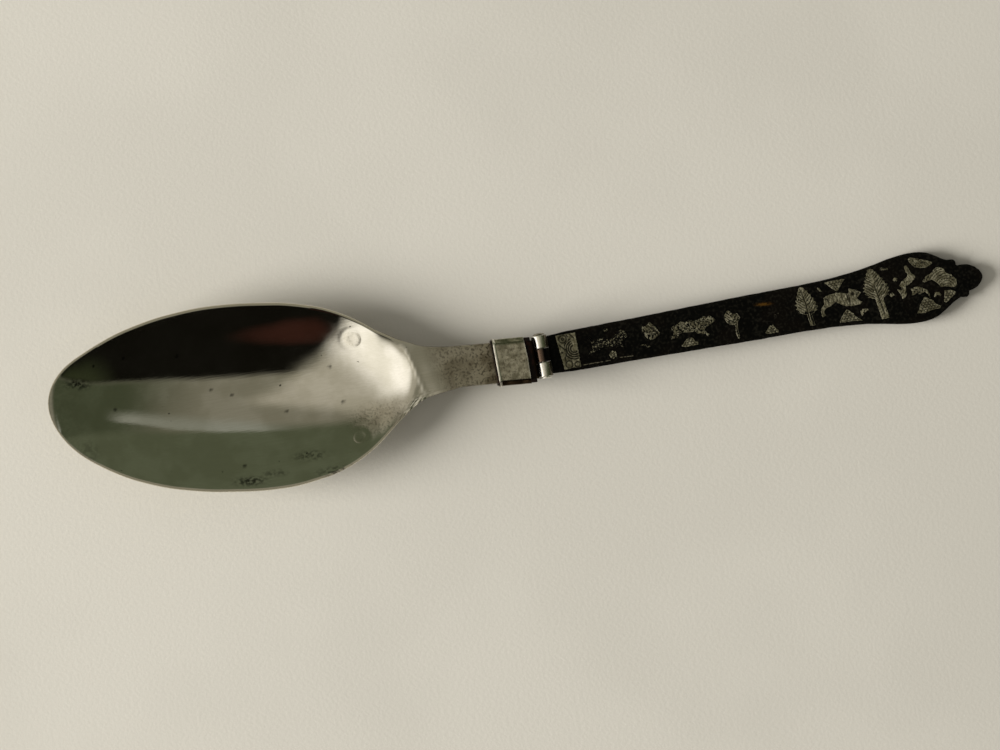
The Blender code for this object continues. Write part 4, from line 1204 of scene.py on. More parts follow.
@dataclass
class HingeStrap:
    """The silver strap under the stub: its plate, the two arms under the bowl's heel, and two knuckles."""

    bowl: Bowl
    barrel: HingeBarrel
    thickness: float = 0.95
    arm_thickness: float = 0.8
    half_width: float = 3.7
    seat_gap: float = 0.1
    arm_gap: float = 0.2
    arm_length: float = 13.7
    rows: int = 70
    lanes: int = 16
    arm_stations: tuple = (0, 0.29, 0.58, 0.84, 0.95, 1.0)
    arm_outer: tuple = (0.396, 0.76, 1.08, 1.22, 1.17, 1.03)
    arm_inner: tuple = (0, 0.34, 0.66, 0.8, 0.86, 0.97)
    finish: Finish = field(default_factory=lambda: worn_silver("bright_silver", 0.3))

    def sheet(self, shell: Shell, stations: Array, inner: Array, outer: Array) -> None:
        """Adds a closed sheet that follows the underside of stub and heel, between two edges.

        Args:
            shell: What it is added to.
            stations: Where its rows lie along the stem.
            inner: Its near edge at each row.
            outer: Its far edge at each row.
        """
        bowl = self.bowl
        station = stations[:, None]
        across = inner[:, None] + (outer - inner)[:, None] * np.linspace(0, 1, self.lanes)
        across = across + bowl.middle(station)
        along, aside = slopes(bowl.underside, station, across)
        steep = np.sqrt(1 + along**2 + aside**2)
        arm = ease((bowl.hollow_length + self.half_width - station) / self.arm_length)
        thick = self.thickness + (self.arm_thickness - self.thickness) * arm
        top = bowl.underside(station, across) - (self.seat_gap + (self.arm_gap - self.seat_gap) * arm) * steep
        lower = bowl.points(station, across, top - thick * steep)[:, ::-1]
        grid = bowl.layout.from_stem(np.concatenate([bowl.points(station, across, top), lower], axis=1))
        # Painted shade: the plate darkens towards its end by the hinge, between collar and knuckles.
        grime = ramp(station - bowl.reach, -3.2, -2)
        shell.add_bar(grid, grime=np.broadcast_to(grime, grid.shape[:2]))

    def build(self) -> bpy.types.Object:
        """The plate, an arm at each side and the two knuckles, each a closed shell of one object."""
        bowl = self.bowl
        shell = Shell()
        plate = np.linspace(bowl.reach - 0.72, bowl.hollow_length - 0.4, self.rows // 2)
        side = np.full(len(plate), self.half_width)
        self.sheet(shell, plate, -side, side)
        share = 1 - (1 - np.linspace(0, 1, self.rows)) ** 1.5
        stations = bowl.hollow_length - self.arm_length * share
        outer = bowl.rivet_spread * smooth_curve(self.arm_stations, self.arm_outer, share)
        inner = bowl.rivet_spread * smooth_curve(self.arm_stations, self.arm_inner, share)
        self.sheet(shell, stations, inner, outer)
        self.sheet(shell, stations, -outer, -inner)
        low, _, high = self.barrel.spans()
        for span in (low, high):
            grid = bar_grid(self.barrel.outline(-1), *span, self.barrel.fillet)
            across = grid[..., 0] / self.barrel.heights.knuckle_radius
            # Painted light on each knuckle: a highlight on its upper side towards the bowl, and shade on its
            # side towards the handle.
            rubbed = ramp(grid[..., 2], -0.2, 0.7) * ease((0.5 - across) / 0.6)
            grime = 0.75 * ramp(across, 0.35, 0.7)
            shell.add_bar(bowl.layout.from_hinge(grid), rubbed=rubbed, grime=grime)
        return shell.make("strap_sheet", "bowl_side", ("hinge_strap",), self.finish)


@dataclass
class HingePin:
    """The hinge pin, with a domed head at its far end and a peened foot at its near end."""

    layout: Layout
    barrel: HingeBarrel
    radius: float = 0.6
    head_radius: float = 1.15
    head_height: float = 0.4
    foot_height: float = 0.25
    seat: float = 0.1
    peened: tuple = ((0, 1), (0.8, 1), (1, 0.6), (1, 0))

    def build(self, finish: Finish) -> bpy.types.Object:
        """Turns the pin from foot to head and lays it along Y.

        Args:
            finish: The collar's worn silver.

        Returns:
            The object.
        """
        end = self.barrel.length / 2 + self.seat
        turn = np.linspace(0, math.pi / 2, 9)
        foot = [(self.head_radius * r, -end - self.foot_height * z) for r, z in self.peened]
        shank = [(self.radius, -end), (self.radius, end)]
        head = [(self.head_radius * math.cos(a), end + self.head_height * math.sin(a)) for a in turn]
        surface = lathe(foot + shank + head)
        laid = np.stack([surface[..., 0], surface[..., 2], -surface[..., 1]], axis=-1)
        shell = Shell()
        # Painted light: the pin gets painted shade towards its head and a painted highlight towards its foot.
        at_head = np.clip(laid[..., 1] / end, 0, 1)
        shell.add_grid(self.layout.from_hinge(laid), wrap=True, grime=0.6 * at_head, rubbed=1 - at_head)
        return shell.make("pin_turned", "bowl_side", ("hinge_pin",), finish)


class Side(IntEnum):
    """The two cut corners of the collar's top, by their number round its section."""

    FAR = 0
    NEAR = 6


@dataclass
class Collar:
    """The locking collar: an iron sleeve with a slotted end wall, in a silver jacket with a rolled edge."""

    bowl: Bowl
    half_width: float = 4.6
    front: float = -1.8
    rear: float = -9.3
    top_chamfer: float = 0.95
    foot_chamfer: float = 0.5
    jacket_wall: float = 0.22
    jacket_seat: float = 0.03
    sleeve_wall: float = 0.28
    jacket_length: float = 6.1
    tail: float = 0.25
    rolled_edge: float = 0.55
    rolled_rise: float = 0.12
    skin_inset: float = 0.1
    end_wall: float = 0.5
    slot_gap: float = 0.17
    side_steps: int = 16
    slot_clearance: float = 0.1
    dents: float = 0.02
    jacket_ragged: float = 0.06
    sleeve_ragged: float = 0.07
    lip: float = 0.05

    def section(self, half: float, top: float, foot: float, upper: float, lower: float, reach: int) -> Array:
        """Section of a box with cut corners: eight sides of even steps each, and rounded corners.

        Args:
            half: Half its width.
            top: Height of its upper side.
            foot: Height of its lower side.
            upper: How much its upper corners are cut.
            lower: How much its lower corners are cut.
            reach: How many points the rounding of its corners takes in on each side.

        Returns:
            The section, as rows of across and height.
        """
        corners = np.array([
            (half - upper, top), (half, top - upper), (half, foot + lower), (half - lower, foot),
            (lower - half, foot), (-half, foot + lower), (-half, top - upper), (upper - half, top),
        ])
        share = np.linspace(0, 1, self.side_steps, endpoint=False)[:, None]
        sides = corners[:, None] * (1 - share) + np.roll(corners, -1, axis=0)[:, None] * share
        return softened(sides.reshape(-1, 2), reach)

    def outer(self, inset: float) -> Array:
        """The collar's section, set in from the outside of the jacket with even walls.

        Args:
            inset: How far it is set in.

        Returns:
            The section, as rows of across and height.
        """
        narrowing = inset * CUT_NARROWING
        heights = self.bowl.heights
        return self.section(
            self.half_width - inset, heights.collar_top - inset, heights.collar_foot + inset,
            self.top_chamfer - narrowing, self.foot_chamfer - narrowing, 2,
        )

    def placed(self, places: Array, sections: Array) -> Array:
        """Rows of sections at places along the stem, parallel to the hinge pin.

        Args:
            places: Place of each section along the stem.
            sections: The sections.

        Returns:
            The points in the hinge frame.
        """
        reach = self.bowl.reach
        across = sections[..., 0] + self.bowl.middle(np.array(reach))
        along = np.broadcast_to(places, across.shape) - across * math.tan(self.bowl.layout.yaw)
        return self.bowl.layout.from_stem(np.stack([along, across, sections[..., 1]], axis=-1))

    def build_jacket(self, finish: Finish) -> bpy.types.Object:
        """The jacket as a ring of sections: round the rolled edge, along the outside, back along the bore.

        Args:
            finish: Worn silver.

        Returns:
            The object.
        """
        rear = self.rear + self.tail
        front = rear + self.jacket_length
        turn = np.linspace(-math.pi / 2, math.pi / 2, 9)
        skin_inset, wall = self.skin_inset, self.jacket_wall
        profile = [
            (rear + self.rolled_edge * (0.5 + 0.5 * math.sin(a)), skin_inset - self.rolled_rise * math.cos(a))
            for a in turn
        ]
        run = np.linspace(rear + self.rolled_edge + 0.08, front - self.lip, 26)
        profile += [(x, skin_inset) for x in run]
        profile += [(front, skin_inset + self.lip), (front, wall)]
        profile += [(x, wall) for x in np.linspace(front - 0.1, rear, 6)]
        sections = np.stack([self.outer(inset) for _, inset in profile])
        places, insets = np.array(profile).T[:, :, None]
        skin = insets < 0.75 * wall
        flat = np.concatenate([np.broadcast_to(places, sections.shape[:2])[..., None], sections], axis=-1)
        dents = (self.dents * ripple(flat, 2.2, Seed.JACKET_DENTS) * skin)[..., None] / self.half_width
        ragged = ripple(sections[:1], 3, Seed.JACKET_END) * ramp(places, front - 2, front)
        ragged = self.jacket_ragged * ragged
        sections = sections * (1 + dents) - sections.mean(axis=1, keepdims=True) * dents
        grid = self.placed(places + ragged, sections)
        # Painted highlight: the rolled edge is lit bright all along. The line at the front lip is rubbed
        # wear.
        lit = ease(1 - np.abs(places - rear - self.rolled_edge / 2) / (self.rolled_edge * 0.6))
        lip_line = 0.7 * ease(1 - np.abs(places - front) / 0.22)
        side = np.arange(sections.shape[1]) // self.side_steps
        flat_skin = skin * (1 - lit)
        # The far cut corner gets a painted green reflection, and the near cut corner is darkened as painted
        # shade.
        marks = {
            "rubbed": np.maximum(lit, lip_line) * skin * np.ones(len(side)),
            "green": 0.75 * (side == Side.FAR) * flat_skin, "grime": (side == Side.NEAR) * flat_skin,
        }
        shell = Shell()
        shell.add_grid(closed(grid), wrap=True, **{key: closed(value) for key, value in marks.items()})
        return shell.make("jacket_sheet", "collar_side", ("collar_jacket",), finish)

    def build_sleeve(self, finish: Finish) -> bpy.types.Object:
        """The sleeve as a ring of sections, whose end wall closes in to a slot for stub and strap.

        Args:
            finish: Oxidised iron.

        Returns:
            The object.
        """
        outside = self.jacket_wall + self.jacket_seat
        bore = outside + self.sleeve_wall
        bowl, heights = self.bowl, self.bowl.heights
        half = bowl.stub_half_width * bowl.neck_shares[2] + self.slot_gap
        top, foot = heights.stub_top + self.slot_clearance, heights.handle_back - self.slot_clearance
        slot = self.section(half, top, foot, 0.12, 0.12, 1)
        profile = [(self.rear, outside + 0.06)]
        profile += [(x, outside) for x in np.linspace(self.rear + 0.06, self.front - 0.06, 20)]
        profile += [(self.front, outside + 0.06), (self.front, bore)]
        profile += [(x, bore) for x in np.linspace(self.front - 0.1, self.rear + self.end_wall, 8)]
        sections = np.stack([self.outer(inset) for _, inset in profile] + [slot, slot])
        places = np.array([x for x, _ in profile] + [self.rear + self.end_wall, self.rear])[:, None]
        ragged = ripple(sections[:1], 1.4, Seed.SLEEVE_END) * ramp(places, self.front - 1, self.front)
        ragged = self.sleeve_ragged * ragged
        shell = Shell()
        shell.add_grid(closed(self.placed(places - np.abs(ragged), sections)), wrap=True)
        return shell.make("sleeve_box", "collar_side", ("collar_sleeve",), finish)


class Engraving(Enum):
    """How the face of an inlay is cut."""

    PLAIN = "plain"
    FUR = "fur"
    BRANCHES = "branches"
    SCALES = "scales"
    PETALS = "petals"
    HATCH = "hatch"
    RINGS = "rings"
    SCROLLS = "scrolls"


@dataclass(frozen=True)
class Motif:
    """How one inlay is engraved: its kind, how much has worn through, and single cuts in hinge-frame mm.

    A thin trunk is a tree's whose silver is left only along its middle.
    """

    kind: Engraving = Engraving.PLAIN
    loss: float = 0.3
    thin_trunk: bool = False
    cuts: tuple[tuple[tuple[float, float], ...], ...] = ()
    rings: tuple[tuple[float, float, float], ...] = ()


MOTIFS = {
    "inlay_scroll_band": Motif(
        Engraving.SCROLLS, 0.26,
        cuts=(
            ((3.2, 3.14), (3.66, -2.83)), ((3.62, 1.51), (4.3, 0.7), (5.03, 0.09)),
            ((5.03, 0.09), (4.41, -1.18), (4.42, -1.7)), ((6.02, 3.1), (6.66, 2.3)), ((5.3, 3.2), (5.5, 2.7)),
        ),
        rings=(
            (4.5, 2.46, 0.72), (4.5, 2.46, 0.2), (4.95, -2.5, 0.68), (6.5, -2.75, 0.5), (3.99, -0.05, 0.1),
        ),
    ),
    "inlay_near_beast": Motif(Engraving.FUR, 0.53),
    "inlay_flower": Motif(Engraving.PETALS, 0.38),
    "inlay_dot": Motif(loss=0.5),
    "inlay_wisp": Motif(loss=0.52),
    "inlay_bud": Motif(Engraving.HATCH, 0.46, cuts=(((20.78, 2.24), (22.1, 1.0), (22.75, -0.03)),)),
    "inlay_middle_beast": Motif(Engraving.FUR, 0.45),
    "inlay_near_mound": Motif(Engraving.SCALES, 0.36),
    "inlay_near_tree": Motif(Engraving.BRANCHES, 0.42, thin_trunk=True),
    "inlay_middle_mound": Motif(Engraving.SCALES, 0.38),
    "inlay_middle_tree": Motif(
        Engraving.BRANCHES, 0.36, thin_trunk=True, cuts=(((50.97, 3.34), (51.5, 0.5), (51.69, -2.6)),),
    ),
    "inlay_leaf": Motif(loss=0.4),
    "inlay_hanging_triangle": Motif(Engraving.SCALES, 0.34),
    "inlay_far_beast": Motif(
        Engraving.FUR, 0.33,
        cuts=(
            ((59.81, 1.19), (59.9, 0.0), (59.81, -1.0)), ((59.5, 1.15), (59.55, 0.0)),
            ((61.45, 1.0), (61.85, 1.02)), ((54.9, 1.1), (55.6, 0.8), (55.9, 0.1)),
            ((54.7, -1.25), (55.6, -1.4)),
        ),
        rings=((60.62, 1.01, 0.24), (60.62, 1.01, 0.05)),
    ),
    "inlay_far_mound": Motif(Engraving.SCALES, 0.34),
    "inlay_curl": Motif(loss=0.44),
    "inlay_great_tree": Motif(
        Engraving.BRANCHES, 0.35, cuts=(((64.95, 1.79), (65.5, -1.0), (66.02, -3.83)),),
    ),
    "inlay_sprig": Motif(loss=0.44),
    "inlay_shoot": Motif(loss=0.44),
    "inlay_berry": Motif(loss=0.4),
    "inlay_bird": Motif(Engraving.FUR, 0.36),
    "inlay_half_moon": Motif(Engraving.HATCH, 0.38),
    "inlay_small_beast": Motif(Engraving.FUR, 0.4),
    "inlay_end_mound": Motif(Engraving.SCALES, 0.34),
    "inlay_arch": Motif(loss=0.4),
    "inlay_crescent_beast": Motif(Engraving.RINGS, 0.38),
    "inlay_end_triangle": Motif(Engraving.SCALES, 0.34),
}


@dataclass
class Inlay:
    """One silver inlay: a cut-out with a softened edge, engraved on its face."""

    layout: Layout
    heights: Heights
    node: str
    motif: Motif
    thickness: float = 0.5
    step: float = 0.07
    pitch: float = 0.1
    raggedness: float = 0.04
    cut_width: float = 0.46
    cut_depth: float = 0.06
    fur_pitch: float = 0.55
    branch_pitch: float = 0.62
    scale_pitch: tuple[float, float] = (0.62, 0.46)
    petals: int = 8
    hatch_pitch: float = 0.5
    ring_pitch: float = 0.48
    scroll_pitch: float = 0.42
    hammer_depth: float = 0.014
    proud: float = 0.015
    trim: float = 0.01
    margin: float = 0.11
    scroll_eye: tuple[float, float] = (6.4, 0.3)
    scroll_reach: float = 2.3
    curls: tuple[tuple[float, float], ...] = ((4.7, 2.46), (4.7, -2.55))
    curl_reach: float = 0.75
    finish: Finish = field(default_factory=hammered_inlay)

    def corners(self, nodes: dict[str, bpy.types.Object]) -> Array:
        """The inlay's outline in the hinge frame: the free edges of the node's upper face, as one loop.

        Args:
            nodes: The part's nodes by name.

        Returns:
            The outline, as rows of X and Y.
        """
        mesh = nodes[self.node].data
        points = np.zeros(len(mesh.vertices) * 3, np.float32)
        mesh.vertices.foreach_get("co", points)
        local = self.layout.to_hinge(points.reshape(-1, 3).astype(float) / MM)
        upper = local[:, 2] > self.heights.handle_top - 0.05
        flat = np.round(local[:, :2] / GRAIN).astype(int)
        edges = set()
        for face in mesh.polygons:
            corners = list(face.vertices)
            if all(upper[corner] for corner in corners):
                flat_corners = [tuple(flat[corner]) for corner in corners]
                edges |= set(zip(flat_corners, flat_corners[1:] + flat_corners[:1]))
        after = {start: end for start, end in edges if (end, start) not in edges and start != end}
        first = min(after)
        loop = [first]
        while after[loop[-1]] != first:
            loop.append(after[loop[-1]])
        return np.array(loop) * GRAIN

    def engraved(self, points: Array, loop: Array) -> Array:
        """How deep the face is cut at each point, from 0 to 1.

        Each kind is lines where a phase is whole: fur runs along the body, branches slant up from the trunk,
        scales are rows of arcs, petals are rays, hatching is slanted, and rings go round a corner.

        Args:
            points: Rows of X and Y on the face.
            loop: The inlay's outline.

        Returns:
            The depth.
        """
        low, high = loop.min(axis=0), loop.max(axis=0)
        middle = (low + high) / 2
        s, t = (points - middle).T
        warp = 0.16 * ripple(points, 1.1, Seed.ENGRAVING)
        kind = self.motif.kind
        if kind is Engraving.FUR:
            value = 0.7 * stripes(s / self.fur_pitch + 0.3 * t / 1.2 + 1.6 * warp, 0.55)
        elif kind is Engraving.BRANCHES:
            trunk = -0.14 * t
            side = np.abs(s - trunk)
            crown = ease((t + 0.15 * (high[1] - low[1])) / 0.6)
            value = stripes((t - 0.9 * side) / self.branch_pitch + warp, 0.75) * crown * ease(side / 0.4)
        elif kind is Engraving.SCALES:
            wide, tall = self.scale_pitch
            row = np.round(t / tall)
            place = s / wide + 0.5 * (row % 2)
            across = (place - np.round(place)) * wide
            value = line(np.hypot(across, t - row * tall + 0.2) - 0.3, 0.3)
        elif kind is Engraving.PETALS:
            rays = np.arctan2(t, s) * self.petals / (2 * math.pi) + 0.5
            value = stripes(rays, 0.45) * ease(np.hypot(s, t) / 0.4)
            value = np.maximum(value, line(np.hypot(s, t) - 0.33, 0.28))
        elif kind is Engraving.HATCH:
            value = 0.85 * stripes((s + 0.7 * t) / self.hatch_pitch + warp, 0.55)
        elif kind is Engraving.RINGS:
            away = np.hypot(s - 0.4 * (high[0] - middle[0]), t - low[1] + middle[1])
            value = 0.85 * stripes(away / self.ring_pitch, 0.55)
        elif kind is Engraving.SCROLLS:
            value = self.scrolls(points)
        else:
            value = np.zeros(len(points))
        for cut in self.motif.cuts:
            value = np.maximum(value, line(distance_to(points, np.array(cut)), self.cut_width))
        for x, y, radius in self.motif.rings:
            away = np.hypot(points[:, 0] - x, points[:, 1] - y)
            value = np.maximum(value, line(away - radius, self.cut_width))
        return np.clip(value, 0, 1)

    def scrolls(self, points: Array) -> Array:
        """Arcs round the band's eye on its far side, which stop short of the two curls.

        Args:
            points: Rows of X and Y on the face.

        Returns:
            The depth of the arcs, from 0 to 1.
        """
        x, y = (points - self.scroll_eye).T
        away = np.hypot(x, y)
        facing = (0.8 * x + 0.6 * y) / np.maximum(away, WELD)
        within = (away > self.scroll_pitch) & (away < self.scroll_reach) & (points[:, 0] > 4.5)
        value = 1.7 * stripes(away / self.scroll_pitch + 0.3, 0.95) * within * ease((0.6 - facing) / 0.4)
        value = np.clip(value, 0, 1)
        for curl in self.curls:
            value = value * ease((np.hypot(*(points - curl).T) - self.curl_reach) / 0.1)
        return value

    def bared(self, points: Array, loop: Array) -> Array:
        """How much more silver is gone from the sides of a thin trunk, below the crown.

        Args:
            points: Rows of X and Y on the face.
            loop: The inlay's outline.

        Returns:
            The added share, from 0 to 1.
        """
        low, high = loop.min(axis=0), loop.max(axis=0)
        s, t = (points - (low + high) / 2).T
        below = ease(-(t + 0.12 * (high[1] - low[1])) / 0.5)
        foot = loop[np.argmin(loop[:, 1])] - (low + high) / 2
        axis = foot[0] * np.clip(t / foot[1], 0, 1)
        return self.motif.thin_trunk * below * ease((np.abs(s - axis) - 0.1) / 0.25) * 0.6

    def build(self, nodes: dict[str, bpy.types.Object]) -> Array:
        """Makes the inlay and returns its outline, which the handle's pocket follows.

        Args:
            nodes: The part's nodes by name.

        Returns:
            The outline, as rows of X and Y.
        """
        loop = softened(resampled(self.corners(nodes), self.step), 2)
        seed = sum(map(ord, self.node))
        loop = grown(loop, -self.trim) + self.raggedness * wander(loop, (0.5, 0.5), seed)
        top = self.heights.handle_top + self.proud
        bottom = self.heights.handle_top - self.thickness
        edges = ((0, bottom), (0, top - 0.07), (0.02, top - 0.02), (0.07, top))
        rings = np.stack([raised(grown(loop, -inset), level) for inset, level in edges])
        face_edge = rings[-1, :, :2]
        spots = scattered(loop, self.pitch, seed)
        flat, faces = filled(face_edge, spots[inside(spots, grown(loop, -self.margin))])
        groove = self.engraved(flat, loop)
        relief = self.hammer_depth * ripple(flat, 0.55, seed) - self.cut_depth * groove
        height = top + relief * (distance_to(flat, closed(face_edge)) >= ON_EDGE)
        base, base_faces = filled(rings[0, :, :2], np.zeros((0, 2)))
        loss, place = self.motif.loss, self.layout.from_hinge
        shell = Shell()
        shell.add_grid(place(rings), wrap=True, loss=loss)
        shell.add_faces(place(raised(flat, height)), faces, groove=groove, loss=loss + self.bared(flat, loop))
        shell.add_faces(place(raised(base, bottom)), base_faces, loss=loss)
        shell.make(f"{self.node}_face", "handle_side", (self.node,), self.finish)
        return loop


@dataclass
class Handle:
    """The iron handle: a flat bar with a beaded finial, a pocket for each inlay and the middle knuckle."""

    layout: Layout
    heights: Heights
    barrel: HingeBarrel
    bevel: float = 0.22
    pocket_gap: float = 0.04
    pocket_depth: float = 0.56
    pocket_slant: float = 0.035
    pitch: float = 0.24
    filing: float = 0.02
    tongue: float = 1.1
    pit_depth: float = 0.05
    rust_place: tuple = (43.5, 2.1)
    bare_place: tuple = (45.5, -0.3)
    blade: tuple = (
        (1.57, 3.65), (5.7, 3.9), (17.2, 4.0), (33.4, 4.26), (42.2, 4.4), (50, 4.4), (56.8, 4.65),
        (62.3, 5.2), (66.1, 5.85), (68.1, 6.27), (70.3, 6.6), (72, 6.7), (73.4, 6.7), (74.7, 6.53),
        (75.9, 6.2), (77.2, 5.5), (78.5, 4.6),
    )
    finial: tuple = (
        (79.4, 4.15), (80.1, 4.08), (80.7, 4.0), (81.05, 3.6), (81.1, 2.75), (82.0, 2.78), (83.3, 2.6),
        (84.4, 2.05), (85.2, 1.2), (85.6, 0.5), (85.7, 0), (85.6, -0.5), (85.2, -1.15), (84.4, -1.9),
        (83.4, -2.3), (82.65, -2.4), (82.6, -3.1), (82.1, -3.55), (81.4, -3.45), (80.9, -3.3), (79.6, -3.95),
    )
    silver_lines: tuple = (((7.6, -3.07), (12.7, -3.15)), ((14.7, -2.95), (17.2, -3.08)))
    line_share: float = 0.62
    line_width: float = 0.12
    bare_share: float = 0.42
    finish: Finish = field(default_factory=blackened_iron)

    def outline(self) -> Array:
        """The outline: the blade, the finial and the blade's mirror image, rounded and unevenly filed."""
        near = tuple((station, -across) for station, across in reversed(self.blade))
        loop = softened(resampled(np.array(self.blade + self.finial + near), 0.08), 3)
        return loop + self.filing * wander(loop, (5, 3), Seed.FILING)

    def marks(self, flat: Array, loop: Array) -> dict[str, Array]:
        """Where rust, left-over silver and rubbed edges lie on the face.

        Args:
            flat: Rows of X and Y on the face.
            loop: The handle's outline.

        Returns:
            The shares.
        """
        s, t = flat.T
        rust = patch(s, t + 0.1 * (s - self.rust_place[0]), self.rust_place, (1.7, 0.3), 1.3)
        lines = [
            self.line_share * ease(1.4 - distance_to(flat, np.array(path)) / self.line_width)
            for path in self.silver_lines
        ]
        left = self.bare_share * patch(s, t, self.bare_place, (2.6, 1.3), 1.1)
        edge = ease(1 - distance_to(flat, closed(loop)) / 0.5)
        return {"rust": rust, "silvered": np.max([*lines, left], axis=0), "edge": edge}

    def build(self, pockets: list[Array]) -> bpy.types.Object:
        """The bar's face with its pockets, its rounded edge and sides, its back, and the knuckle.

        Args:
            pockets: Outlines of the inlays, in the hinge frame.

        Returns:
            The handle.
        """
        loop = self.outline()
        top, back, bevel = self.heights.handle_top, self.heights.handle_back, self.bevel
        soft = 0.3 * bevel
        edges = (
            (bevel, top), (soft, top - soft), (0, top - bevel),
            (0, back + bevel), (soft, back + soft), (bevel, back),
        )
        rings = np.stack([raised(grown(loop, -inset), level) for inset, level in edges])
        face_edge = rings[0, :, :2]
        floors = [grown(pocket, self.pocket_gap) for pocket in pockets]
        mouths = [grown(pocket, self.pocket_gap + self.pocket_slant) for pocket in pockets]
        between = [grown(pocket, self.pocket_gap + self.pocket_slant / 2) for pocket in pockets]
        flat, faces = filled(face_edge, self.face_spots(loop, mouths), (*floors, *mouths))
        sunk = np.any([inside(flat, pocket) for pocket in between], axis=0)
        pits = self.pit_depth * ease((ripple(flat, 0.9, Seed.HANDLE_PITS) - 0.9) / 0.6)
        within = distance_to(flat, closed(face_edge)) >= ON_EDGE
        worn = (pits + 0.01 * ripple(flat, 4, Seed.HANDLE_WAVES) + 0.01) * within
        height = top - np.where(sunk, self.pocket_depth, worn)
        base, base_faces = filled(face_edge, np.zeros((0, 2)))
        place = self.layout.from_hinge
        shell = Shell()
        shell.add_grid(place(rings), wrap=True, edge=0.3)
        shell.add_faces(place(raised(flat, height)), faces, **self.marks(flat, loop))
        shell.add_faces(place(raised(base, back)), base_faces)
        self.add_knuckle(shell)
        return shell.make("handle_bar", "handle_side", ("handle",), self.finish)

    def face_spots(self, loop: Array, pockets: list[Array]) -> Array:
        """Points spread over the face, clear of its edge and of the pockets.

        Args:
            loop: The handle's outline.
            pockets: Outlines of the pockets.

        Returns:
            Rows of X and Y.
        """
        spots = scattered(loop, self.pitch, Seed.HANDLE_SPOTS)
        for start, end in np.array(self.silver_lines):
            spots = spots[distance_to(spots, np.stack([start, end])) > 0.2]
            row = start + (end - start) * np.linspace(0, 1, 60)[:, None]
            spots = np.concatenate([spots, *(row + (0, aside) for aside in (-0.12, -0.04, 0.04, 0.12))])
        kept = inside(spots, grown(loop, -self.bevel - 0.08))
        for pocket in pockets:
            kept &= ~inside(spots, grown(pocket, 0.06))
        return spots[kept]

    def add_knuckle(self, shell: Shell) -> None:
        """Adds the middle knuckle, whose tongue runs on into the bar.

        Args:
            shell: What it is added to.
        """
        heights, barrel, place = self.heights, self.barrel, self.layout.from_hinge
        _, middle, _ = barrel.spans()
        radius = heights.knuckle_radius
        grid = bar_grid(barrel.outline(1), *middle, barrel.fillet)
        # The knuckle's half towards the bowl is bare brown metal, its lighter colour also a painted highlight
        # on the lit side.
        shell.add_bar(place(grid), bare=1 - ramp(grid[..., 0] / radius, -0.25, 0.25))
        start, end = -0.1 * radius, radius + self.tongue
        low, high = heights.handle_back + barrel.foot, heights.handle_top - barrel.foot
        box = resampled(np.array([(start, low), (end, low), (end, high), (start, high)]), 0.1)
        shell.add_bar(place(bar_grid(softened(box, 1), *middle, barrel.fillet)))


@dataclass(frozen=True)
class Card:
    """A plain card that the metal mirrors: a colour between soft edges.

    Each edge is a way, given as left, up and over in the photograph, then the low and the high value of a
    direction's share along it, between which the card comes in. A level over 1 is a lit window.
    """

    code: str
    edges: tuple[tuple[float, float, float, float, float], ...]
    level: float = 1.0


# The edge of the light side of the room, which most of its cards share.
LIGHT_SIDE = (1, 0.45, 0, -0.13, 0.0)


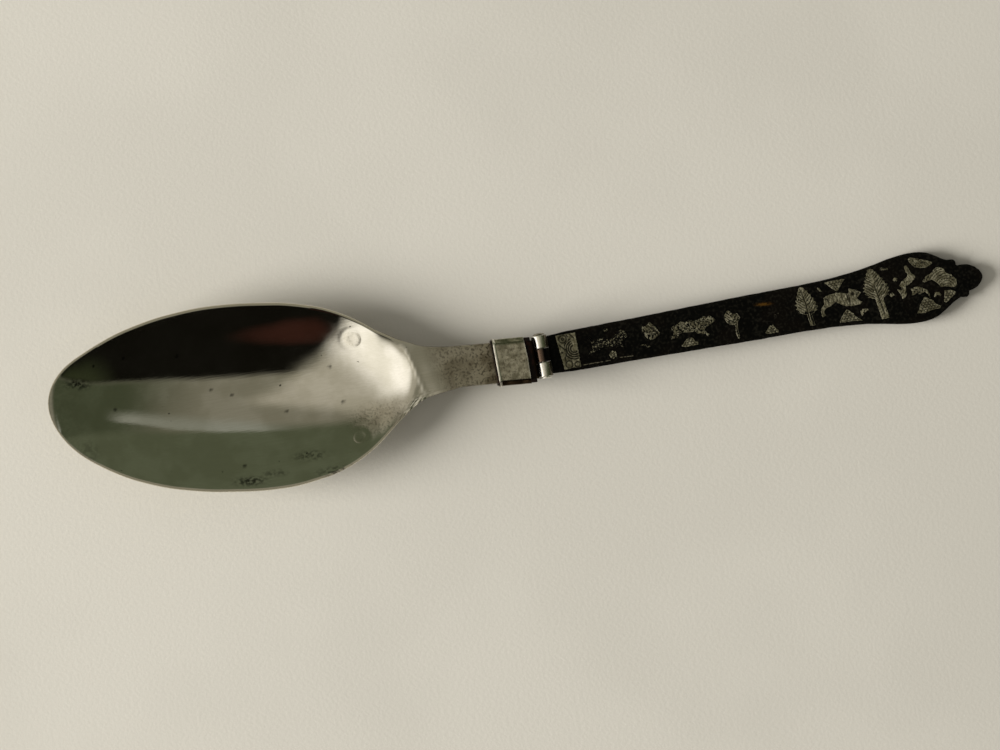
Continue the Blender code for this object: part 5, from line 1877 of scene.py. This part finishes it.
@dataclass
class Studio:
    """Pale paper, one broad soft light from the left, dim cards for the metal to mirror, and the camera.

    The aim, the view's width and the paper's swell and drop are in mm, and the room's other sizes in metres.
    """

    layout: Layout
    roll: float = math.radians(10.4)
    aim: tuple[float, float] = (-8.6, -2.1)
    view_width: float = 190.7
    lens: float = 700.0
    sensor: float = 36.0
    floor_size: float = 1.6
    floor_steps: int = 60
    floor_swell: float = 0.3
    floor_drop: float = 0.02
    fill: tuple[float, float, float] = (0.305, 0.294, 0.262)
    key: tuple[float, float, float] = (1.69, -0.3, 0.72)
    key_power: float = 59.0
    key_size: float = 1.05
    dark: str = "#13120E"
    cards: tuple[Card, ...] = (
        Card("#8B887A", ((0, 1, 0, -0.42, -0.29),)),
        Card("#8B887A", ((1, 0, 0, 0.1, 0.25), LIGHT_SIDE)),
        Card("#BAB5A7", (
            (0.45, -0.9, 0, -0.2, 0.0), (0.9, 0.43, 0, -0.06, 0.12), (1, 0, 0, -0.22, -0.05), LIGHT_SIDE,
        )),
        Card("#4C523F", ((-1, 0, 0, 0.1, 0.58), (0, 1, 0, -0.42, -0.3))),
        Card("#5D634F", ((0, 1, 0, 0.42, 0.58),)),
        Card("#C2BDAF", ((0.83, -0.55, 0, 0.12, 0.3), (1, 0.5, 0, -0.05, 0.1), LIGHT_SIDE)),
        Card("#95978D", (
            (-0.43, 0.9, 0, 0.3, 0.48), (0.43, -0.9, 0, -0.56, -0.51), (0, -1, 0, -0.58, -0.53),
            (1, 0, 0, -0.66, -0.5), (-1, 0, 0, -0.3, 0.0),
        )),
        Card("#323724", ((-1, 0, 0, 0.55, 0.7), (0, -1, 0, 0.3, 0.45))),
        Card("#FFFBF4", ((0.93, -0.37, 0, 0.42, 0.72), (0, -1, 0, -0.5, -0.1), LIGHT_SIDE), 1.45),
        Card("#38211A", ((0.1, -0.86, 0.5, 0.97, 0.999),)),
    )
    finish: Finish = field(default_factory=backdrop_paper)

    @property
    def up(self) -> tuple[float, float, float]:
        """The photograph's upward direction on the table."""
        return math.sin(self.roll), math.cos(self.roll), 0.0

    @property
    def left(self) -> tuple[float, float, float]:
        """The photograph's leftward direction on the table."""
        return -math.cos(self.roll), math.sin(self.roll), 0.0

    def build_floor(self) -> None:
        """The sheet of paper, with a faint swell that keeps it from being a bare plane."""
        steps = self.floor_steps
        share = np.linspace(-1, 1, steps) * self.floor_size
        flat = np.stack(np.meshgrid(share, share), axis=-1).reshape(-1, 2)
        away = ramp(np.linalg.norm(flat, axis=1), 0.15, 0.35)
        swell = self.floor_swell * (1 + ripple(flat, 0.4, Seed.PAPER)) * away
        points = raised(flat, -(swell + self.floor_drop) * MM)
        here = np.arange(steps * steps).reshape(steps, steps)
        faces = np.stack([here[:-1, :-1], here[:-1, 1:], here[1:, 1:], here[1:, :-1]], axis=-1).reshape(-1, 4)
        mesh = bpy.data.meshes.new("paper")
        mesh.from_pydata(points.tolist(), [], faces.tolist())
        mesh.shade_smooth()
        mesh.materials.append(self.finish.material())
        paper = bpy.data.objects.new("paper", mesh)
        bpy.context.scene.collection.objects.link(paper)

    def build_camera(self) -> None:
        """A long lens straight over the spoon, rolled so that the handle rises to the right."""
        data = bpy.data.cameras.new("camera")
        data.lens = self.lens
        data.sensor_width = self.sensor
        camera = bpy.data.objects.new("camera", data)
        aim = self.layout.from_hinge(np.array([*self.aim, 0.0]))
        aim[2] += self.view_width * self.lens / self.sensor
        camera.location = aim * MM
        camera.rotation_euler = (0, 0, -self.roll)
        bpy.context.scene.collection.objects.link(camera)
        bpy.context.scene.camera = camera

    def toward(self, left: float, up: float, over: float) -> Vector:
        """A direction given as the photograph sees it: to its left, to its top and towards the lens."""
        return Vector(self.left) * left + Vector(self.up) * up + Vector((0, 0, over))

    def build_key(self) -> None:
        """One broad soft lamp at the left, like a window. The metal mirrors the cards instead of it."""
        data = bpy.data.lights.new("window_light", "AREA")
        data.shape = "DISK"
        data.size = self.key_size
        data.energy = self.key_power
        data.color = colour("#FFFCF7")[:3]
        lamp = bpy.data.objects.new("window_light", data)
        lamp.location = self.toward(*self.key)
        lamp.rotation_euler = lamp.location.to_track_quat("Z", "Y").to_euler()
        lamp.visible_glossy = False
        bpy.context.scene.collection.objects.link(lamp)

    def build_world(self) -> None:
        """Even fill light. What the metal mirrors is a room of plain cards."""
        world = bpy.data.worlds.new("studio")
        bpy.context.scene.world = world
        world.use_nodes = True
        tree = world.node_tree
        way = add_node(tree, "ShaderNodeTexCoord", {})
        mirrored: Socket | str = self.dark
        for card in self.cards:
            share: Socket | float = 1.0
            for left, up, over, low, high in card.edges:
                facing = add_node(tree, "ShaderNodeVectorMath", {
                    0: way, 1: self.toward(left, up, over),
                }, operation="DOT_PRODUCT").node.outputs["Value"]
                step = add_node(tree, "ShaderNodeMapRange", {
                    "Value": facing, "From Min": low, "From Max": high,
                }, interpolation_type="SMOOTHSTEP")
                share = add_node(tree, "ShaderNodeMath", {0: share, 1: step}, operation="MULTIPLY")
            lit = (*(part * card.level for part in colour(card.code)[:3]), 1.0)
            mirrored = add_node(tree, "ShaderNodeMix", {
                "Factor": share, "A": mirrored, "B": lit,
            }, data_type="RGBA")
        path = add_node(tree, "ShaderNodeLightPath", {}).node.outputs
        plain = add_node(tree, "ShaderNodeMix", {
            "Factor": path["Is Camera Ray"], "A": (*self.fill, 1), "B": "#D6D2C8",
        }, data_type="RGBA")
        seen = add_node(tree, "ShaderNodeMix", {
            "Factor": path["Is Glossy Ray"], "A": plain, "B": mirrored,
        }, data_type="RGBA")
        tree.links.new(seen, tree.nodes["Background"].inputs["Color"])

    def build(self) -> None:
        """Sets up the whole studio."""
        self.build_floor()
        self.build_camera()
        self.build_key()
        self.build_world()
        bpy.context.scene.view_settings.view_transform = "Standard"


def main() -> None:
    """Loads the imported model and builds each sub-assembly over it."""
    logging.basicConfig(level=logging.INFO, format="%(message)s")
    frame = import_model()
    layout = Layout.read(frame["joints"])
    heights = Heights()
    bowl = Bowl(layout, heights)
    barrel = HingeBarrel(heights)
    silver = worn_silver("worn_silver", 0.8)
    bowl.build()
    for side in (-1, 1):
        BowlRivet(bowl, side).build()
    HingeStrap(bowl, barrel).build()
    HingePin(layout, barrel).build(silver)
    collar = Collar(bowl)
    collar.build_jacket(silver)
    collar.build_sleeve(oxidised_iron())
    loops = [Inlay(layout, heights, node, motif).build(frame["nodes"]) for node, motif in MOTIFS.items()]
    Handle(layout, heights, barrel).build(loops)
    Studio(layout).build()


if __name__ == "__main__":
    main()
